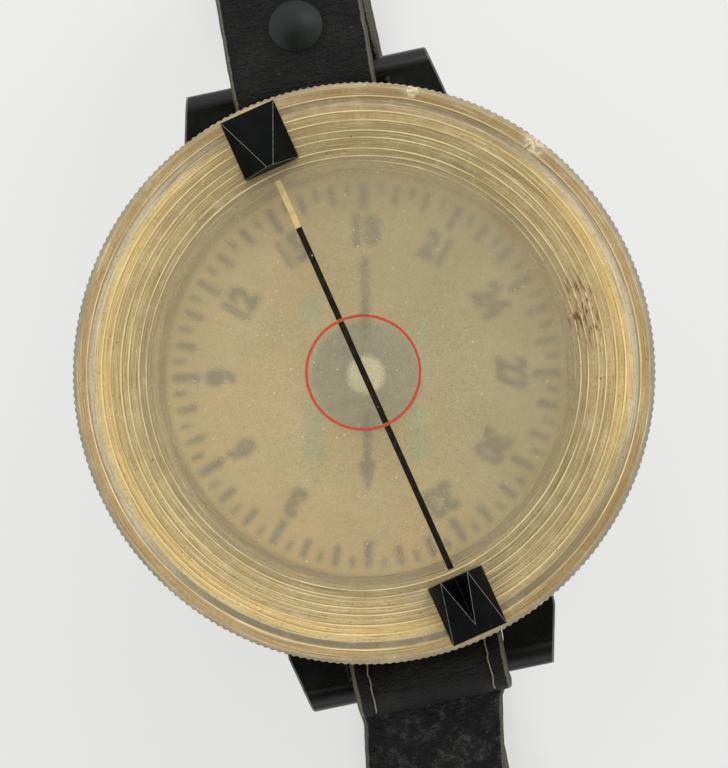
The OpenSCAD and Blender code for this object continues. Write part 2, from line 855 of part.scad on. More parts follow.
// Frame of the buckle's rear bar, with the strap towards positive Y
module at_buckle() {
    translate([0, buckle_at.x, buckle_at.y]) rotate([-lower_rise, 0, 0]) children();
}

module buckle_rivet() {
    low = -buckle_loop_r - strap_t / 2 - fit_gap;
    high = -buckle_loop_r + 1.5 * strap_t + rivet_collar_h + fit_gap;
    color("#77746a")
        mirror([0, 1, 0])
            at_buckle()
                translate([0, rivet_u, 0]) {
                    translate([0, 0, low - rivet_head_h]) cylinder(r = rivet_head_r, h = rivet_head_h);
                    translate([0, 0, low - rivet_head_h / 2])
                        cylinder(r = rivet_post_r, h = high - low + rivet_head_h);
                    translate([0, 0, high]) cylinder(r = rivet_head_r, h = rivet_head_h);
                }
}

module buckle_frame() {
    side_x = buckle_w / 2 + wire_r;
    color("#8b8d8c")
        mirror([0, 1, 0])
            at_buckle() {
                for (y = [0, -buckle_l])
                    translate([-side_x + buckle_corner, y, 0])
                        rotate([0, 90, 0])
                            cylinder(r = wire_r, h = 2 * (side_x - buckle_corner));
                for (x = [-side_x, side_x])
                    translate([x, -buckle_corner, 0])
                        rotate([90, 0, 0])
                            cylinder(r = wire_r, h = buckle_l - 2 * buckle_corner);
                for (x = [0, 1], y = [0, 1])
                    mirror([x, 0, 0])
                        translate([0, -buckle_l / 2, 0])
                            mirror([0, y, 0])
                                translate([side_x - buckle_corner, buckle_l / 2 - buckle_corner, 0])
                                    rotate_extrude(angle = 90)
                                        translate([buckle_corner, 0])
                                            circle(r = wire_r, $fn = 32);
            }
}

module buckle_prong() {
    under = -wire_r - run_gap;
    tip = -buckle_l - prong_past;
    color("#8b8d8c")
        mirror([0, 1, 0])
            at_buckle()
                rotate([90, 0, 90])
                    translate([0, 0, -prong_w / 2])
                        difference() {
                            union() {
                                cylinder(r = prong_ring_r, h = prong_w);
                                linear_extrude(prong_w)
                                    polygon([[0, under], [tip, under], [tip, under - prong_t / 2],
                                        [tip + prong_past, under - prong_t], [0, under - prong_t]]);
                            }
                            translate([0, 0, -cut]) cylinder(r = wire_r + seat_gap, h = prong_w + 2 * cut);
                        }
}

module strap_keeper() {
    inner_half = strap_slim + 2 * run_gap;
    inner_top = -buckle_loop_r + strap_t / 2 + lift_gap;
    inner_h = 2 * strap_t + 2 * lift_gap;
    color("#232422")
        mirror([0, 1, 0])
            at_buckle()
                translate([0, lower_rise_l - keeper_s, 0])
                    difference() {
                        translate([-inner_half - keeper_t, -keeper_l / 2, inner_top - inner_h - keeper_t])
                            cube([2 * (inner_half + keeper_t), keeper_l, inner_h + 2 * keeper_t]);
                        translate([-inner_half, -keeper_l / 2 - cut, inner_top - inner_h])
                            cube([2 * inner_half, keeper_l + 2 * cut, inner_h]);
                    }
}

base();
base_screws();
bowl();
bowl_cover();
cover_gasket();
filler_plug();
filler_washer();
pivot_post();
pivot_needle();
bezel_spring();
card_disc();
card_hub();
pivot_jewel();
card_magnets();
hub_cap();
centre_dot();
bezel_ring();
window();
front_sight();
rear_sight();
sight_line();
sight_line_tip();
centre_ring();
upper_strap();
strap_stud();
stud_washer();
lower_strap();
buckle_rivet();
buckle_frame();
buckle_prong();
strap_keeper();
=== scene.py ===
"""Looks of an aviator's wrist compass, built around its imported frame."""

import logging
import math
from dataclasses import dataclass, field
from enum import Enum
from functools import cache
from itertools import product
from typing import Callable, Sequence

import bmesh
import bpy
from mathutils import Matrix, Vector, noise


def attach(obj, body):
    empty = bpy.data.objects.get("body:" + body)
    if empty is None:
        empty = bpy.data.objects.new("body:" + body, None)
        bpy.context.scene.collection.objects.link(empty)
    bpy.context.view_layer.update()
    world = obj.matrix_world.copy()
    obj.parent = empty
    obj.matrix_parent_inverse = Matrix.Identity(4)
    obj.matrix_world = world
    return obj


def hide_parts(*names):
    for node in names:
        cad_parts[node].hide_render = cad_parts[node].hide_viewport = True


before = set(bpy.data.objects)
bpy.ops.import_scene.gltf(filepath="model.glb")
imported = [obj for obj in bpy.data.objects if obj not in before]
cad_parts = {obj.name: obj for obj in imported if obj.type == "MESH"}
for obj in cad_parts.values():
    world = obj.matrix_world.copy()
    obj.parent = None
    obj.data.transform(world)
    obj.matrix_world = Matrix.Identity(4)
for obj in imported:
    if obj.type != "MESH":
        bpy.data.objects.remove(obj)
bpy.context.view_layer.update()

MM = 0.001
POLE = 0.001
WELD_GAP = 1e-6
EASED_FROM = 35.0
PLASTIC_IOR = 1.49
LOG = logging.getLogger("wrist_compass")
Point2 = tuple[float, float]
Point3 = tuple[float, float, float]
Band = tuple[float, float, float, float]
Rgb = tuple[float, float, float]
Stops = Sequence[tuple[float, Rgb]]
Socket = bpy.types.NodeSocket
Node = bpy.types.Node
Tree = bpy.types.NodeTree
Material = bpy.types.Material
Piece = bpy.types.Object
Started = tuple["Graph", dict[str, Socket], Node]


class Body(Enum):
    """The bodies that the pieces ride on."""

    CARD = "card"
    BEZEL = "bezel"
    UPPER_STRAP = "upper_strap"
    LOWER_STRAP = "lower_strap"
    BUCKLE = "buckle"
    KEEPER = "keeper"


class Face(Enum):
    """The faces of a leather strap, numbered as its material slots."""

    GRAIN = 0
    FLESH = 1
    EDGE = 2


def srgb(red: int, green: int, blue: int) -> Rgb:
    """Turns an 8-bit display colour into the linear colour that shaders take.

    Args:
        red: Red from 0 to 255.
        green: Green from 0 to 255.
        blue: Blue from 0 to 255.

    Returns:
        The linear colour.
    """
    def linear(value: int) -> float:
        """Turns one channel into its linear value."""
        share = value / 255
        return share / 12.92 if share <= 0.04045 else ((share + 0.055) / 1.055) ** 2.4

    return linear(red), linear(green), linear(blue)


class Graph:
    """A node tree with short calls for the nodes that the finishes use. Lengths are in millimetres."""

    def __init__(self, tree: Tree) -> None:
        """Wraps an empty tree."""
        self.tree = tree

    @classmethod
    def of(cls, owner: Material | bpy.types.World) -> "Graph":
        """Empties the nodes of a material or a world and wraps them."""
        owner.use_nodes = True
        owner.node_tree.nodes.clear()
        return cls(owner.node_tree)

    @classmethod
    def started(cls, name: str, kind: str, inputs: dict[str, str], outputs: dict[str, str]) -> Started:
        """Starts a node group.

        Args:
            name: Name of the group.
            kind: Blender's name of the tree type.
            inputs: Names and kinds of its inputs.
            outputs: Names and kinds of its outputs.

        Returns:
            The graph, its inputs by name and its output node.
        """
        tree = bpy.data.node_groups.new(name, kind)
        for way, sockets in (("INPUT", inputs), ("OUTPUT", outputs)):
            for key, value in sockets.items():
                tree.interface.new_socket(key, in_out=way, socket_type=f"NodeSocket{value}")
        graph = cls(tree)
        source, sink = graph.add("NodeGroupInput"), graph.add("NodeGroupOutput")
        return graph, {socket.name: socket for socket in source.outputs if socket.name}, sink

    def feed(self, socket: Socket, value: object) -> None:
        """Links a socket to another one, or sets its constant value."""
        if isinstance(value, Socket):
            self.tree.links.new(value, socket)
        elif socket.type == "RGBA":
            socket.default_value = (*value, 1.0)
        else:
            socket.default_value = value

    def add(self, kind: str, settings: dict[str, object] | None = None, **inputs: object) -> Node:
        """Adds a node.

        Args:
            kind: Blender's name of the node type.
            settings: Properties of the node.
            inputs: Values or sockets for its inputs, with underscores for the spaces in their names.

        Returns:
            The new node.
        """
        node = self.tree.nodes.new(kind)
        for key, value in (settings or {}).items():
            setattr(node, key, value)
        for key, value in inputs.items():
            self.feed(node.inputs[key.replace("_", " ")], value)
        return node

    def math(self, operation: str, *values: object, clamp: bool = False) -> Socket:
        """Joins values with a Math node."""
        node = self.add("ShaderNodeMath", {"operation": operation, "use_clamp": clamp})
        for socket, value in zip(node.inputs, values):
            self.feed(socket, value)
        return node.outputs[0]

    def times(self, first: object, *others: object) -> Socket:
        """Multiplies values, one after the other."""
        for value in others:
            first = self.math("MULTIPLY", first, value)
        return first

    def most(self, first: object, *others: object) -> Socket:
        """Gives the largest of some values."""
        for value in others:
            first = self.math("MAXIMUM", first, value)
        return first

    def vector(self, operation: str, first: object, second: object) -> Node:
        """Joins two vectors with a Vector Math node."""
        node = self.add("ShaderNodeVectorMath", {"operation": operation})
        self.feed(node.inputs[0], first)
        self.feed(node.inputs[1], second)
        return node

    def mix(self, share: object, first: object, second: object) -> Socket:
        """Mixes two colours."""
        node = self.add("ShaderNodeMix", {"data_type": "RGBA"})
        for index, value in ((0, share), (6, first), (7, second)):
            self.feed(node.inputs[index], value)
        return node.outputs[2]

    def blend(self, share: Socket, first: Socket, second: Socket) -> Socket:
        """Mixes two shaders."""
        node = self.add("ShaderNodeMixShader", None, Fac=share)
        self.feed(node.inputs[1], first)
        self.feed(node.inputs[2], second)
        return node.outputs[0]

    def spread(self, value: Socket, low: float, high: float, to_low: float = 0.0,
               to_high: float = 1.0) -> Socket:
        """Maps a span of values onto another span, held at its ends."""
        node = self.add("ShaderNodeMapRange", {"interpolation_type": "SMOOTHSTEP"}, Value=value,
                        From_Min=low, From_Max=high, To_Min=to_low, To_Max=to_high)
        return node.outputs[0]

    def spread_line(self, value: Socket, low: float, high: float) -> Socket:
        """Maps a span of values onto 0 to 1 in a straight line."""
        return self.add("ShaderNodeMapRange", Value=value, From_Min=low, From_Max=high).outputs[0]

    def band(self, value: Socket, start: float, full: float, fall: float, end: float) -> Socket:
        """Marks a band of values that is soft at both ends."""
        return self.times(self.spread(value, start, full), self.spread(value, fall, end, 1.0, 0.0))

    def ramp(self, value: Socket, stops: Stops) -> Socket:
        """Colours a value by stops from 0 to 1."""
        node = self.add("ShaderNodeValToRGB", Fac=value)
        elements = node.color_ramp.elements
        elements.remove(elements[1])
        elements[0].position = stops[0][0]
        elements[0].color = (*stops[0][1], 1.0)
        for place, colour in stops[1:]:
            elements.new(place).color = (*colour, 1.0)
        return node.outputs[0]

    def place(self) -> Socket:
        """Gives the point on the surface in millimetres, in the frame of the part."""
        point = self.add("ShaderNodeTexCoord").outputs["Object"]
        return self.scaled(point, (1 / MM, 1 / MM, 1 / MM))

    def scaled(self, vector: Socket, factors: Point3) -> Socket:
        """Multiplies a vector by three factors."""
        return self.vector("MULTIPLY", vector, factors).outputs[0]

    def sized(self, vector: Socket, factor: Socket) -> Socket:
        """Multiplies a vector by one factor."""
        node = self.add("ShaderNodeVectorMath", {"operation": "SCALE"}, Scale=factor)
        self.feed(node.inputs[0], vector)
        return node.outputs[0]

    def polar(self, vector: Socket) -> tuple[Socket, Socket]:
        """Gives the radius and the angle of a point about the compass axis."""
        flat = self.scaled(vector, (1, 1, 0))
        radius = self.add("ShaderNodeVectorMath", {"operation": "LENGTH"})
        self.feed(radius.inputs[0], flat)
        parts = self.add("ShaderNodeSeparateXYZ", Vector=vector)
        return radius.outputs["Value"], self.math("ARCTAN2", parts.outputs["Y"], parts.outputs["X"])

    def noise(self, vector: Socket, scale: object, detail: float = 4.0, rough: float = 0.55,
              warp: float = 0.0) -> Socket:
        """Gives cloudy noise with features of about one over the scale."""
        node = self.add("ShaderNodeTexNoise", Vector=vector, Scale=scale, Detail=detail, Roughness=rough,
                        Distortion=warp)
        return node.outputs[0]

    def ring_noise(self, radius: Socket, angle: Socket, radial: float, around: float, detail: float = 3.0,
                   rough: float = 0.55) -> Socket:
        """Gives noise that is stretched round the compass axis.

        Args:
            radius: Radius of the point.
            angle: Angle of the point.
            radial: Number of features in a millimetre of radius.
            around: Number of features in a radian.
            detail: Finer layers of the noise.
            rough: Share of the finer layers.

        Returns:
            The noise.
        """
        point = self.add("ShaderNodeCombineXYZ", X=self.times(radius, radial),
                         Y=self.times(self.math("SINE", angle), around),
                         Z=self.times(self.math("COSINE", angle), around))
        return self.noise(point.outputs[0], 1.0, detail, rough)

    def cells(self, vector: Socket, scale: object, feature: str = "F1") -> Socket:
        """Gives the distance to the nearest cell point, or to the edge between two cells."""
        node = self.add("ShaderNodeTexVoronoi", {"feature": feature}, Vector=vector, Scale=scale)
        return node.outputs["Distance"]

    def bump(self, height: Socket, depth: float, strength: float, under: Socket | None = None) -> Socket:
        """Gives the normal of a surface that a height raises by a depth in millimetres."""
        node = self.add("ShaderNodeBump", Height=height, Strength=strength, Distance=depth * MM)
        if under is not None:
            self.feed(node.inputs["Normal"], under)
        return node.outputs[0]

    def attribute(self, name: str) -> Socket:
        """Reads a value that the mesh carries."""
        return self.add("ShaderNodeAttribute", {"attribute_name": name}).outputs["Fac"]

    def group(self, tree: Tree, **inputs: object) -> Node:
        """Places a shared effect with its own values."""
        return self.add("ShaderNodeGroup", {"node_tree": tree}, **inputs)


class Effects:
    """Shared surface effects, each a node group that is built once."""

    @staticmethod
    def tree(name: str, inputs: Sequence[str], outputs: Sequence[str]) -> Started:
        """Starts a group that takes a point and some values."""
        return Graph.started(name, "ShaderNodeTree", {"Point": "Vector"} | dict.fromkeys(inputs, "Float"),
                             dict.fromkeys(outputs, "Float"))

    @staticmethod
    @cache
    def mottle() -> Tree:
        """Uneven colour: broad clouds with finer ones in them."""
        graph, given, sink = Effects.tree("Mottle", ("Scale", "Fine Share"), ("Value",))
        broad = graph.noise(given["Point"], given["Scale"], 3, 0.6, 0.4)
        fine = graph.noise(given["Point"], graph.times(given["Scale"], 9.0), 5, 0.65)
        part = graph.times(graph.math("SUBTRACT", fine, 0.5), given["Fine Share"])
        graph.feed(sink.inputs["Value"], graph.math("ADD", broad, part, clamp=True))
        return graph.tree

    @staticmethod
    def clouds(graph: Graph, point: Socket, scale: float, fine: float) -> Socket:
        """Places the uneven colour in a finish and gives its value."""
        return graph.group(Effects.mottle(), Point=point, Scale=scale, Fine_Share=fine).outputs["Value"]

    @staticmethod
    @cache
    def scuffs() -> Tree:
        """Fine scratches in three directions, broken up by noise, and specks of dust."""
        graph, given, sink = Effects.tree("Scuffs", ("Scale", "Amount"), ("Scratches", "Dust"))
        lines: list[Socket] = []
        for turn, stretch in ((0.6, 0.05), (-0.9, 0.08), (2.1, 0.04)):
            turned = graph.add("ShaderNodeVectorRotate", {"rotation_type": "Z_AXIS"}, Vector=given["Point"],
                               Angle=turn)
            long_way = graph.scaled(turned.outputs[0], (1.0, stretch, 1.0))
            streaks = graph.noise(long_way, graph.times(given["Scale"], 3.0), 2, 0.5)
            thin = graph.math("ABSOLUTE", graph.math("SUBTRACT", streaks, 0.5))
            lines.append(graph.spread(thin, 0.0, 0.045, 1.0, 0.0))
        patches = graph.noise(given["Point"], graph.times(given["Scale"], 0.3), 2)
        shown = graph.times(graph.most(*lines), graph.spread(patches, 0.45, 0.7), given["Amount"])
        graph.feed(sink.inputs["Scratches"], shown)
        specks = graph.cells(given["Point"], graph.times(given["Scale"], 1.3))
        dust = graph.times(graph.spread(specks, 0.03, 0.09, 1.0, 0.0), given["Amount"])
        graph.feed(sink.inputs["Dust"], dust)
        return graph.tree

    @staticmethod
    @cache
    def worn_edge() -> Tree:
        """Wear along marked edges, eaten away unevenly."""
        graph, given, sink = Effects.tree("Worn edge", ("Edge", "Scale", "Amount"), ("Mask",))
        patchy = graph.noise(given["Point"], given["Scale"], 4, 0.65)
        reach = graph.math("SUBTRACT", graph.math("ADD", given["Edge"], patchy),
                           graph.math("SUBTRACT", 1.5, given["Amount"]))
        graph.feed(sink.inputs["Mask"], graph.spread(reach, 0.0, 0.25))
        return graph.tree

    @staticmethod
    @cache
    def pebbled() -> Tree:
        """Leather grain: rounded pebbles of uneven size with creases between them."""
        graph, given, sink = Effects.tree("Pebbled", ("Scale", "Crease"), ("Height", "Valley"))
        wander = graph.noise(given["Point"], graph.times(given["Scale"], 0.6), 3)
        moved = graph.vector("ADD", given["Point"], graph.scaled(wander, (0.5, 0.5, 0.5)))
        gap = graph.cells(moved.outputs[0], given["Scale"], "DISTANCE_TO_EDGE")
        pebble = graph.spread(gap, 0.0, 0.22)
        pores = graph.noise(given["Point"], graph.times(given["Scale"], 4.0), 4, 0.7)
        height = graph.math("ADD", graph.times(pebble, given["Crease"]), graph.times(pores, 0.35))
        graph.feed(sink.inputs["Height"], height)
        graph.feed(sink.inputs["Valley"], graph.math("SUBTRACT", 1.0, pebble, clamp=True))
        return graph.tree

    @staticmethod
    @cache
    def turned() -> Tree:
        """Fine rings left by turning, broken along their length."""
        graph, given, sink = Effects.tree("Turned", ("Pitch", "Wander"), ("Height",))
        radius, angle = graph.polar(given["Point"])
        shift = graph.times(graph.ring_noise(radius, angle, 6.0, 1.1, 5, 0.6), given["Wander"])
        turns = graph.math("ADD", graph.math("DIVIDE", radius, given["Pitch"]), shift)
        wave = graph.math("SINE", graph.times(turns, math.tau))
        graph.feed(sink.inputs["Height"], graph.math("MULTIPLY_ADD", wave, 0.5, 0.5))
        return graph.tree


class Finish:
    """A surface finish. Its values are fields, and its surface is built once as a material."""

    name: str

    def surface(self, graph: Graph) -> Socket:
        """Builds the shader of the finish."""
        raise NotImplementedError

    @staticmethod
    def plain(graph: Graph, **inputs: object) -> Socket:
        """Adds the shader that all the finishes share."""
        return graph.add("ShaderNodeBsdfPrincipled", None, **inputs).outputs["BSDF"]

    @staticmethod
    def lit_through(graph: Graph, shader: Socket, tint: Rgb, share: float = 1.0) -> Socket:
        """Lets light pass a clear or cloudy piece straight to what lies under it.

        Args:
            graph: The material's graph.
            shader: The shader of the surface.
            tint: Colour of the light that passes.
            share: Share of the light that passes.

        Returns:
            The mixed shader.
        """
        path = graph.add("ShaderNodeLightPath")
        clear = graph.add("ShaderNodeBsdfTransparent", None, Color=tint)
        return graph.blend(graph.times(path.outputs["Is Shadow Ray"], share), shader, clear.outputs[0])


@cache
def painted(finish: Finish) -> Material:
    """Builds the material of a finish the first time that it is asked for."""
    material = bpy.data.materials.new(finish.name)
    graph = Graph.of(material)
    output = graph.add("ShaderNodeOutputMaterial")
    graph.feed(output.inputs["Surface"], finish.surface(graph))
    return material


@dataclass(frozen=True)
class MilkyRing(Finish):
    """Aged clear plastic, turned in rings, that has gone yellow, with painted shade that darkens it at two
    sides, painted highlights and shade on its ridges, and painted shade in its groove and on its rim.
    """

    name: str = "milky_ring"
    low_r: float = 21.4
    high_r: float = 30.2
    # Directions in degrees towards which painted shade darkens the bands.
    shade_at: float = 78.2
    second_shade_at: float = 303.0
    # Direction in degrees towards which the groove is in painted shade.
    groove_shade_side: float = 258.0
    ridges: tuple[float, ...] = (22.3, 23.08, 24.18, 24.92, 25.98, 26.88, 28.42)
    groove_band: Band = (27.6, 27.75, 28.2, 28.35)
    flat_band: Band = (28.45, 28.6, 29.2, 29.4)
    rim_from: float = 29.45
    rim_full: float = 29.62
    stain_at: Point3 = (23.75, 1.7, 18.7)
    stain_near: float = 2.0
    stain_far: float = 5.2
    stain_full_r: float = 24.4
    stain_end_r: float = 25.2
    teeth: float = 246.0
    glow: Rgb = srgb(252, 246, 230)
    through: float = 0.95
    fine_dark: Rgb = srgb(104, 84, 48)
    fine_pale: Rgb = srgb(238, 218, 164)
    chatter: Rgb = srgb(120, 98, 58)
    # Painted shade and painted highlight along the turned ridges.
    ridge_shade: Rgb = srgb(128, 106, 62)
    ridge_highlight: Rgb = srgb(240, 222, 168)
    # Painted shade in the groove, on one side.
    groove_shade: Rgb = srgb(112, 102, 74)
    # Painted shade on the outer rim at two sides.
    rim_shade: Rgb = srgb(122, 119, 98)
    tick: Rgb = srgb(164, 134, 88)
    stain: Rgb = srgb(98, 60, 28)
    speck: Rgb = srgb(92, 74, 46)
    scratch: Rgb = srgb(240, 228, 190)
    crumb_dark: Rgb = srgb(150, 122, 80)
    crumb_pale: Rgb = srgb(204, 190, 158)

    def share(self, radius: float) -> float:
        """Gives the place of a radius on the ramps, from 0 to 1."""
        return (radius - self.low_r) / (self.high_r - self.low_r)

    def yellow(self) -> Stops:
        """Colours of the turned bands away from the painted shade, where the plastic shows yellow."""
        bands = ((22.3, srgb(148, 135, 100)), (22.7, srgb(156, 138, 97)), (24.2, srgb(177, 154, 105)),
                 (25.9, srgb(179, 155, 103)), (26.1, srgb(194, 162, 94)), (26.8, srgb(205, 177, 113)),
                 (27.5, srgb(201, 176, 120)), (27.66, srgb(190, 180, 152)), (28.15, srgb(184, 171, 138)),
                 (28.3, srgb(150, 134, 96)), (28.46, srgb(168, 144, 98)), (29.25, srgb(166, 142, 96)),
                 (29.5, srgb(150, 134, 98)), (29.8, srgb(128, 114, 82)))
        return [(self.share(radius), colour) for radius, colour in bands]

    def shaded_bands(self) -> Stops:
        """Colours of the turned bands in painted shade, where the yellow plastic shows a dull brownish green.
        """
        bands = ((22.3, srgb(150, 138, 102)), (22.7, srgb(143, 126, 83)), (24.2, srgb(154, 137, 92)),
                 (25.9, srgb(156, 137, 92)), (26.3, srgb(171, 149, 98)), (27.5, srgb(160, 141, 98)),
                 (27.66, srgb(138, 126, 92)), (28.3, srgb(138, 122, 86)), (28.46, srgb(148, 124, 78)),
                 (29.25, srgb(146, 122, 76)), (29.5, srgb(146, 126, 86)), (29.8, srgb(130, 116, 82)))
        return [(self.share(radius), colour) for radius, colour in bands]

    def lines(self) -> Stops:
        """Grey levels that paint a highlight on each ridge, with a line of painted shade inside it."""
        grey, dark, bright = (0.5,) * 3, (0.0,) * 3, (1.0,) * 3
        steps = ((-0.26, grey), (-0.13, dark), (0.0, bright), (0.11, grey))
        return [(self.share(ridge + step), level) for ridge in self.ridges for step, level in steps]

    @staticmethod
    def facing(graph: Graph, angle: Socket, aim: float) -> Socket:
        """Tells how far a direction faces the aimed one, from -1 to 1."""
        return graph.math("COSINE", graph.math("SUBTRACT", angle, math.radians(aim)))

    def turned_colour(self, graph: Graph, radius: Socket, angle: Socket) -> Socket:
        """Colours the turned bands, their ridges and the fine lines between them, with painted shade at two
        sides, a painted highlight on each ridge, and painted shade in the groove and on the rim.

        Args:
            graph: The material's graph.
            radius: Radius of the point on the surface.
            angle: Angle of that point.

        Returns:
            The colour.
        """
        slow = graph.ring_noise(radius, angle, 0.5, 1.6)
        shifted = graph.math("ADD", radius, graph.math("MULTIPLY_ADD", slow, 0.2, -0.1))
        place = graph.spread_line(shifted, self.low_r, self.high_r)
        # Painted shade: the bands darken towards two directions and the groove towards a third, with slow
        # noise softening the border.
        facing, dull, dim = (self.facing(graph, angle, aim)
                             for aim in (self.shade_at, self.second_shade_at, self.groove_shade_side))
        uneven = graph.math("MULTIPLY_ADD", slow, 0.5, graph.math("ADD", facing, -0.25))
        shade = graph.most(graph.spread(uneven, 0.5, 0.95), graph.spread(dull, 0.76, 0.98, 0.0, 0.95))
        colour = graph.mix(shade, graph.ramp(place, self.yellow()), graph.ramp(place, self.shaded_bands()))
        fine = graph.ring_noise(radius, angle, 13.0, 4.0, 5, 0.7)
        colour = graph.mix(graph.spread(fine, 0.49, 0.32, 0.0, 0.9), colour, self.fine_dark)
        colour = graph.mix(graph.spread(fine, 0.54, 0.7, 0.0, 0.75), colour, self.fine_pale)
        chatter = graph.ring_noise(radius, angle, 5.0, 70.0, 3, 0.6)
        colour = graph.mix(graph.spread(chatter, 0.5, 0.3, 0.0, 0.4), colour, self.chatter)
        # A painted highlight on each ridge, with painted shade just inside it.
        ridge = graph.ramp(place, self.lines())
        kept = graph.spread(graph.ring_noise(radius, angle, 1.0, 3.2), 0.3, 0.62, 0.3, 0.9)
        dark = graph.times(graph.spread(ridge, 0.5, 0.0), graph.times(kept, 0.75))
        colour = graph.mix(dark, colour, self.ridge_shade)
        colour = graph.mix(graph.times(graph.spread(ridge, 0.5, 1.0), kept), colour, self.ridge_highlight)
        # Painted shade in the groove, stronger on one side.
        groove = graph.times(graph.band(radius, *self.groove_band), graph.spread(dim, 0.5, 0.95, 0.0, 0.8))
        colour = graph.mix(groove, colour, self.groove_shade)
        # Painted shade on the rim, at the sides a quarter turn from the shaded direction.
        side = graph.spread(graph.math("ABSOLUTE", facing), 0.4, 0.9, 0.85, 0.1)
        rim = graph.times(graph.spread(radius, self.rim_from, self.rim_full), side)
        return graph.mix(rim, colour, self.rim_shade)

    def marked_colour(self, graph: Graph, point: Socket, radius: Socket, angle: Socket,
                      colour: Socket) -> Socket:
        """Adds the hatching of the outer flat, the stain, the specks, the scratches and the chips.

        Args:
            graph: The material's graph.
            point: Point on the surface.
            radius: Its radius.
            angle: Its angle.
            colour: Its colour so far.

        Returns:
            The marked colour.
        """
        hatch = graph.math("SINE", graph.times(angle, self.teeth))
        ticks = graph.times(graph.spread(hatch, 0.1, 0.9, 0.0, 0.22), graph.band(radius, *self.flat_band))
        colour = graph.mix(ticks, colour, self.tick)
        away = graph.vector("DISTANCE", point, self.stain_at).outputs["Value"]
        near = graph.spread(away, self.stain_near, self.stain_far, 0.95, 0.0)
        inside = graph.spread(radius, self.stain_full_r, self.stain_end_r, 1.0, 0.0)
        brown = graph.spread(graph.ring_noise(radius, angle, 3.0, 13.0, 4, 0.6), 0.5, 0.6)
        colour = graph.mix(graph.times(near, inside, brown), colour, self.stain)
        specks = graph.spread(graph.cells(point, 0.8), 0.04, 0.09, 1.0, 0.0)
        colour = graph.mix(graph.times(specks, 0.75), colour, self.speck)
        scuffs = graph.group(Effects.scuffs(), Point=point, Scale=1.6, Amount=0.6)
        colour = graph.mix(graph.times(scuffs.outputs["Scratches"], 0.3), colour, self.scratch)
        crumbs = graph.spread(graph.noise(point, 2.6, 4, 0.7), 0.36, 0.6)
        crumbled = graph.mix(crumbs, self.crumb_dark, self.crumb_pale)
        return graph.mix(graph.spread(graph.attribute("chip"), 0.15, 0.6), colour, crumbled)

    def surface(self, graph: Graph) -> Socket:
        """Turned rings of colour under a light gloss."""
        point = graph.place()
        radius, angle = graph.polar(point)
        turned = graph.group(Effects.turned(), Point=point, Pitch=0.16, Wander=0.8)
        colour = self.turned_colour(graph, radius, angle)
        colour = self.marked_colour(graph, point, radius, angle, colour)
        rough = graph.spread(Effects.clouds(graph, point, 0.12, 0.3), 0.25, 0.8, 0.3, 0.5)
        normal = graph.bump(turned.outputs["Height"], 0.012, 0.6)
        shader = self.plain(graph, Base_Color=colour, Roughness=rough, Normal=normal, IOR=PLASTIC_IOR,
                            Coat_Weight=0.3, Coat_Roughness=0.2)
        return self.lit_through(graph, shader, self.glow, self.through)


@dataclass(frozen=True)
class HazyPane(Finish):
    """A clear pane that has gone yellow and cloudy, so that what is under it shows blurred and grainy."""

    name: str = "hazy_pane"
    clear: float = 0.9
    low_rough: float = 0.06
    high_rough: float = 0.09
    tint: Rgb = srgb(252, 250, 246)
    haze: Stops = ((0.3, srgb(238, 230, 206)), (0.55, srgb(244, 237, 214)), (0.75, srgb(242, 232, 208)))
    grain: Rgb = srgb(188, 178, 150)
    grain_scale: float = 6.0
    pit_d: float = 0.023
    dust: Rgb = srgb(252, 250, 240)

    def surface(self, graph: Graph) -> Socket:
        """Uneven haze, fine pits, fine scratches and white specks of dust."""
        point = graph.place()
        value = Effects.clouds(graph, point, 0.07, 0.2)
        scuffs = graph.group(Effects.scuffs(), Point=point, Scale=0.7, Amount=0.7)
        scratches = scuffs.outputs["Scratches"]
        grains = graph.noise(point, self.grain_scale, 3, 0.7)
        colour = graph.ramp(value, self.haze)
        colour = graph.mix(graph.spread(grains, 0.56, 0.36, 0.0, 0.45), colour, self.grain)
        dust = graph.most(graph.times(scuffs.outputs["Dust"], 0.5), graph.times(scratches, 0.5))
        colour = graph.mix(dust, colour, self.dust)
        rough = graph.spread(value, 0.3, 0.75, self.low_rough, self.high_rough)
        normal = graph.bump(scratches, 0.01, 0.5, graph.bump(grains, self.pit_d, 0.85))
        shader = self.plain(graph, Base_Color=colour, Roughness=rough, Normal=normal, IOR=PLASTIC_IOR,
                            Transmission_Weight=self.clear)
        return self.lit_through(graph, shader, self.tint)


@dataclass(frozen=True)
class ClearCover(Finish):
    """The clear cover of the bowl, seen through the pane as a faint film."""

    name: str = "clear_cover"
    colour: Rgb = srgb(214, 198, 156)
    film: float = 0.1

    def surface(self, graph: Graph) -> Socket:
        """A thin film that lets nearly all light pass."""
        value = Effects.clouds(graph, graph.place(), 0.16, 0.5)
        alpha = graph.spread(value, 0.2, 0.85, self.film * 0.5, self.film)
        return self.plain(graph, Base_Color=self.colour, Roughness=0.3, IOR=PLASTIC_IOR, Alpha=alpha)


@dataclass(frozen=True)
class CloudyBowl(Finish):
    """The yellowed plastic of the bowl under the bezel."""

    name: str = "cloudy_bowl"
    yellows: Stops = ((0.2, srgb(202, 182, 130)), (0.55, srgb(226, 207, 156)), (0.85, srgb(236, 221, 178)))
    glow: Rgb = srgb(252, 246, 230)
    through: float = 0.95

    def surface(self, graph: Graph) -> Socket:
        """Cloudy yellow with a soft gloss."""
        point = graph.place()
        value = Effects.clouds(graph, point, 0.15, 0.4)
        scuffs = graph.group(Effects.scuffs(), Point=point, Scale=1.2, Amount=0.5)
        normal = graph.bump(scuffs.outputs["Scratches"], 0.01, 0.4)
        shader = self.plain(graph, Base_Color=graph.ramp(value, self.yellows), IOR=PLASTIC_IOR, Normal=normal,
                            Roughness=graph.spread(value, 0.2, 0.8, 0.3, 0.5))
        return self.lit_through(graph, shader, self.glow, self.through)


